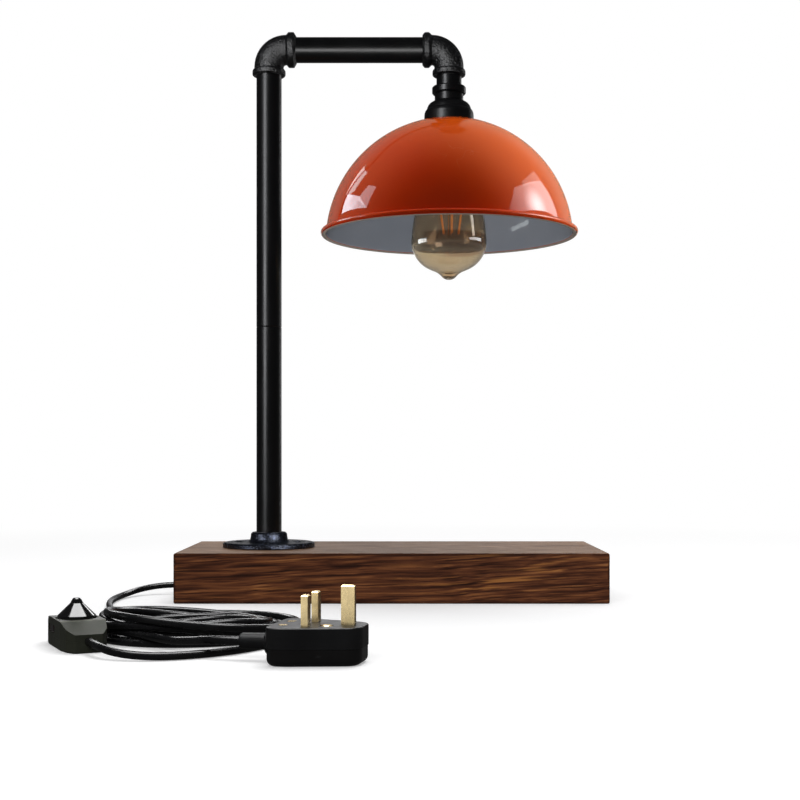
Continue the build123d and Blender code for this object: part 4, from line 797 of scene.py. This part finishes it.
def sky_light(m):
    """Dim in front, pale overhead and behind, brightest on the right."""
    x, y, _ = m.xyz(m.put("VectorMath", {0: m.p}, operation="NORMALIZE").outputs[0])
    right = m.math("MAXIMUM", x, 0.0)
    turn = m.math("ADD", y, m.math("MULTIPLY", right, 0.28))
    amount = m.span(turn, -0.68, 0.14, soft=True)
    amount = m.math("MULTIPLY", amount, m.span(y, 1.0, 0.55, 0.65, 1.0))
    strength = m.math("ADD", m.span(x, 0.0, 0.75, 0.46, 1.25), m.span(x, -0.25, -0.6, 0.0, 0.14))
    value = m.math("MULTIPLY", amount, strength)
    # a painted reflection of the cup: a dark gap cut into the sky, a neck that ends in an oval
    across = m.math("ABSOLUTE", m.math("ADD", x, -0.042))
    oval = m.math("ADD", m.math("POWER", m.math("DIVIDE", across, 0.101), 2.0), m.math("POWER", m.math("DIVIDE", m.math("ADD", y, -0.351), 0.127), 2.0))
    neck = m.math("DIVIDE", across, m.span(y, 0.47, 0.77, 0.040, 0.058))
    neck = m.math("MULTIPLY", m.span(neck, 1.12, 0.9), m.span(y, 0.42, 0.45))
    gap = m.math("MAXIMUM", m.span(oval, 1.14, 0.88), neck)
    value = m.math("MULTIPLY", value, m.math("SUBTRACT", 1.0, m.math("MULTIPLY", gap, 0.92)))
    tint = m.mix(m.span(x, -0.15, -0.6), (1.0, 0.80, 0.58, 1), (1.0, 0.98, 0.52, 1))
    tint = m.mix(m.span(y, 0.42, 0.66), tint, (0.96, 1.12, 0.85, 1))
    tint = m.mix(m.span(y, 0.74, 0.92), tint, (1.5, 0.92, 0.60, 1))
    return m.mix(0.55, (0, 0, 0, 1), m.mix(1.0, tint, m.vec(value, value, value), blend="MULTIPLY"))


def sky_wash(m):
    """The same sky as it colours the enamel, whiter and stronger than what mirrors in it."""
    x, y, z = m.xyz(m.put("VectorMath", {0: m.p}, operation="NORMALIZE").outputs[0])
    value = m.math("ADD", m.span(z, 0.72, 1.0, 0.0, 3.9), m.span(x, 0.76, 1.0, 0.0, 13.5))
    value = m.math("ADD", value, m.span(x, -0.74, -1.0, 0.0, 6.5))
    value = m.math("ADD", m.math("MULTIPLY", value, m.span(y, -0.36, 0.06, soft=True)), 0.02)
    return m.mix(1.0, (1.0, 0.97, 0.93, 1), m.vec(value, value, value), blend="MULTIPLY")


mirror_sky = glow_card("shade_sky", sky_faces(1.5), sky_light, SHADE)
mirror_sky.visible_diffuse = False
wash_sky = glow_card("shade_wash", sky_faces(1.6, low=0.03), sky_wash, SHADE)
wash_sky.visible_glossy = False
WINDOWS = []
# inside the shade's sheet, so that gloss sees a dim bowl there and neither the sky nor the orange
shield = glow_card("shade_shield", sky_faces(0.1046, rows=26, cols=120, low=0.012), steady_dim, None)
shield.visible_diffuse = False


def pane(corners, rad=1.45, cut=10):
    """A window pane given by the directions of its corners from the shade, diced so that it stays on the sphere."""
    c = [Vector(v).normalized() for v in corners]
    out = []

    def at(s, t):
        a, b = c[0].lerp(c[1], s), c[3].lerp(c[2], s)
        return a.lerp(b, t).normalized() * rad
    for i in range(cut):
        for j in range(cut):
            s0, s1, t0, t1 = i / cut, (i + 1) / cut, j / cut, (j + 1) / cut
            out.append([at(s0, t0), at(s1, t0), at(s1, t1), at(s0, t1)])
    return out


def steady(r, g, b):
    def light(m):
        cloud = m.noise(2.2, 2, 0.5)
        return m.mix(m.span(cloud, 0.3, 0.7), (r * 0.92, g * 0.92, b * 0.92, 1), (r * 1.05, g * 1.05, b * 1.05, 1))
    return light


def right_light(m):
    """A hot spot low down on the pane, easing off towards the front."""
    u = m.put("VectorMath", {0: m.p}, operation="NORMALIZE").outputs[0]
    off = m.vop("DISTANCE", u, (0.921, -0.052, 0.385))
    hot = m.span(off, 0.26, 0.0, 0.0, 1.0, soft=True)
    wide = m.span(off, 0.75, 0.10, 0.0, 1.0, soft=True)
    value = m.math("ADD", m.math("MULTIPLY", hot, 12.0), m.math("MULTIPLY", wide, 4.0))
    value = m.math("ADD", value, m.span(m.xyz(u)[1], -0.2, 0.15, 0.0, 2.2, soft=True))
    return m.mix(1.0, (1.0, 0.93, 0.95, 1), m.vec(value, value, value), blend="MULTIPLY")


def left_light(m):
    """Bright along the outer side and the sill, easing off inwards."""
    u = m.put("VectorMath", {0: m.p}, operation="NORMALIZE").outputs[0]
    _, y, z = m.xyz(u)
    value = m.math("ADD", m.span(y, -0.20, 0.45, 4.4, 6.6, soft=True), m.span(z, 0.46, 0.34, 0.0, 1.2, soft=True))
    value = m.math("MULTIPLY", value, m.span(m.noise(5.0, 3, 0.55), 0.3, 0.7, 0.72, 1.12))
    return m.mix(1.0, (0.93, 1.13, 1.27, 1), m.vec(value, value, value), blend="MULTIPLY")


WINDOWS += [glow_card("window_left_low", pane([(-0.817, 0.489, 0.307), (-0.744, 0.500, 0.444), (-0.861, 0.155, 0.484), (-0.920, -0.100, 0.379)], cut=2), left_light, SHADE)]
WINDOWS += [glow_card("window_left_side", pane([(-0.756, 0.500, 0.423), (-0.607, 0.478, 0.634), (-0.695, 0.301, 0.653), (-0.797, 0.335, 0.502)], cut=6), steady(2.9, 3.4, 3.5), SHADE)]
WINDOWS += [glow_card("window_left_top", pane([(-0.874, 0.173, 0.455), (-0.800, 0.084, 0.594), (-0.793, -0.086, 0.603), (-0.920, -0.100, 0.379)], cut=2), steady(2.9, 3.0, 3.2), SHADE)]
WINDOWS += [glow_card("window_left_edge", pane([(-0.580, 0.492, 0.650), (-0.604, 0.478, 0.636), (-0.750, 0.492, 0.441), (-0.727, 0.530, 0.436)], cut=6), steady(5.0, 4.2, 4.0), SHADE)]
WINDOWS += [glow_card("window_right", pane([(0.745, -0.300, 0.600), (0.760, 0.330, 0.560), (0.865, 0.421, 0.272), (0.740, -0.590, 0.322)]), right_light, SHADE)]
WINDOWS += [glow_card("window_right_top", pane([(0.762, -0.090, 0.641), (0.701, 0.321, 0.637), (0.760, 0.330, 0.560), (0.775, -0.120, 0.580)], cut=5), steady(2.2, 1.9, 1.8), SHADE)]
for ob in WINDOWS:
    ob.visible_diffuse = False

# the rest of the lamp
softbox("overhead", (0.35, 0.25, 1.9), (0.0, -0.1, 0.1), (1.6, 1.2), 3.9, gloss=False, only=REST)
softbox("front_fill", (-0.5, -1.9, 1.3), (0.0, 0.0, 0.1), (1.6, 1.0), 3.4, gloss=False, only=REST)
softbox("pipe_side", (-0.807, -1.09, 0.70), (-0.105, 0.0, 0.42), (0.44, 1.15), 8.0, colour=(0.96, 0.97, 1.0), diffuse=False, only=UPRIGHT)
softbox("pipe_front", (-0.03, -1.00, 0.163), (-0.03, 0.0, 0.463), (1.7, 0.36), 5.4, diffuse=False, only=[nodes["arm_pipe"]] + ELBOWS)
softbox("pipe_rim", (1.05, 1.10, 0.40), (-0.05, 0.0, 0.30), (0.16, 1.30), 4.0, diffuse=False, only=IRON)
softbox("elbow_sky", (-0.45, -1.05, 0.95), (-0.03, 0.0, 0.46), (0.42, 0.42), 7.0, diffuse=False, only=ELBOWS)
softbox("flange_sky", (0.35, -0.30, 0.95), (-0.105, 0.0, 0.05), (0.45, 0.30), 20.0, colour=(0.80, 0.88, 1.0), diffuse=False, only=FLANGE)
softbox("flange_low", (0.50, -0.75, 0.22), (-0.105, 0.0, 0.05), (0.25, 0.20), 75.0, colour=(0.75, 0.82, 1.0), diffuse=False, only=FLANGE)
softbox("flange_left", (-0.85, -0.75, 0.34), (-0.105, 0.0, 0.05), (0.25, 0.25), 45.0, colour=(0.72, 0.80, 1.0), diffuse=False, only=FLANGE)
softbox("wood_back", (0.15, 1.60, 0.55), (0.0, 0.0, 0.04), (1.6, 0.7), 1.2, diffuse=False, only=WOOD)
softbox("wood_front", (0.55, -1.3, 0.55), (0.03, 0.0, 0.02), (0.8, 0.5), 5.5, gloss=False, only=WOOD)
softbox("inner_light", (0.015, -0.040, 0.150), (0.075, 0.060, 0.335), (0.09, 0.055), 8.5, colour=(0.92, 0.97, 1.0), gloss=False, only=SHADE)
softbox("inner_streak", (-0.045, 0.047, 0.282), (0.116, 0.075, 0.326), (0.050, 0.006), 3.8, colour=(0.93, 1.0, 1.0), diffuse=False, only=SHADE)
softbox("cord_top", (-0.1, -0.35, 1.1), (-0.12, -0.28, 0.0), (1.1, 0.50), 10.0, diffuse=False, only=ON_FLOOR)
softbox("cord_rim", (-0.15, 0.75, 0.62), (-0.12, -0.28, 0.0), (1.4, 0.22), 6.0, diffuse=False, only=ON_FLOOR)
softbox("floor_fill", (-0.35, -1.10, 0.70), (-0.12, -0.30, 0.0), (0.6, 0.4), 4.0, gloss=False, only=ON_FLOOR)
softbox("pin_front", (-0.115, -0.560, 0.024), (-0.025, -0.366, 0.034), (0.24, 0.085), 1.05, diffuse=False, only=PINS)
softbox("pin_top", (-0.20, -0.05, 0.75), (-0.025, -0.366, 0.034), (0.5, 0.4), 1.6, diffuse=False, only=PINS)
# what the bulb mirrors from below and the wash on its smoky film
below = [[(x, y, -z) for x, y, z in face] for face in sky_faces(0.28, rows=10, cols=40, low=0.06)]
bulb_below = glow_card("bulb_below", below, lambda m: m.mix(m.span(m.noise(6.0, 2, 0.5), 0.3, 0.7), (0.42, 0.38, 0.31, 1), (0.52, 0.47, 0.38, 1)), [envelope])
bulb_below.visible_diffuse = False
softbox("bulb_wash", (-0.25, -0.42, 0.10), (0.045, 0.0, 0.310), (0.20, 0.14), 10.0, colour=(1.0, 0.98, 0.90), gloss=False, only=[envelope])
# small panes mirrored in the bulb
softbox("bulb_left", (-0.0250, -0.0200, 0.2990), (0.022, -0.018, 0.2985), (0.040, 0.015), 7.0, colour=(0.86, 0.93, 1.0), diffuse=False, only=[envelope])
softbox("bulb_right", (0.1130, -0.0260, 0.3035), (0.070, -0.020, 0.2985), (0.050, 0.008), 5.5, colour=(0.88, 0.93, 1.0), diffuse=False, only=[envelope])
softbox("bulb_streak", (0.1120, -0.0330, 0.3240), (0.066, -0.024, 0.3080), (0.010, 0.026), 4.5, colour=(1.0, 0.95, 0.86), diffuse=False, only=[envelope])
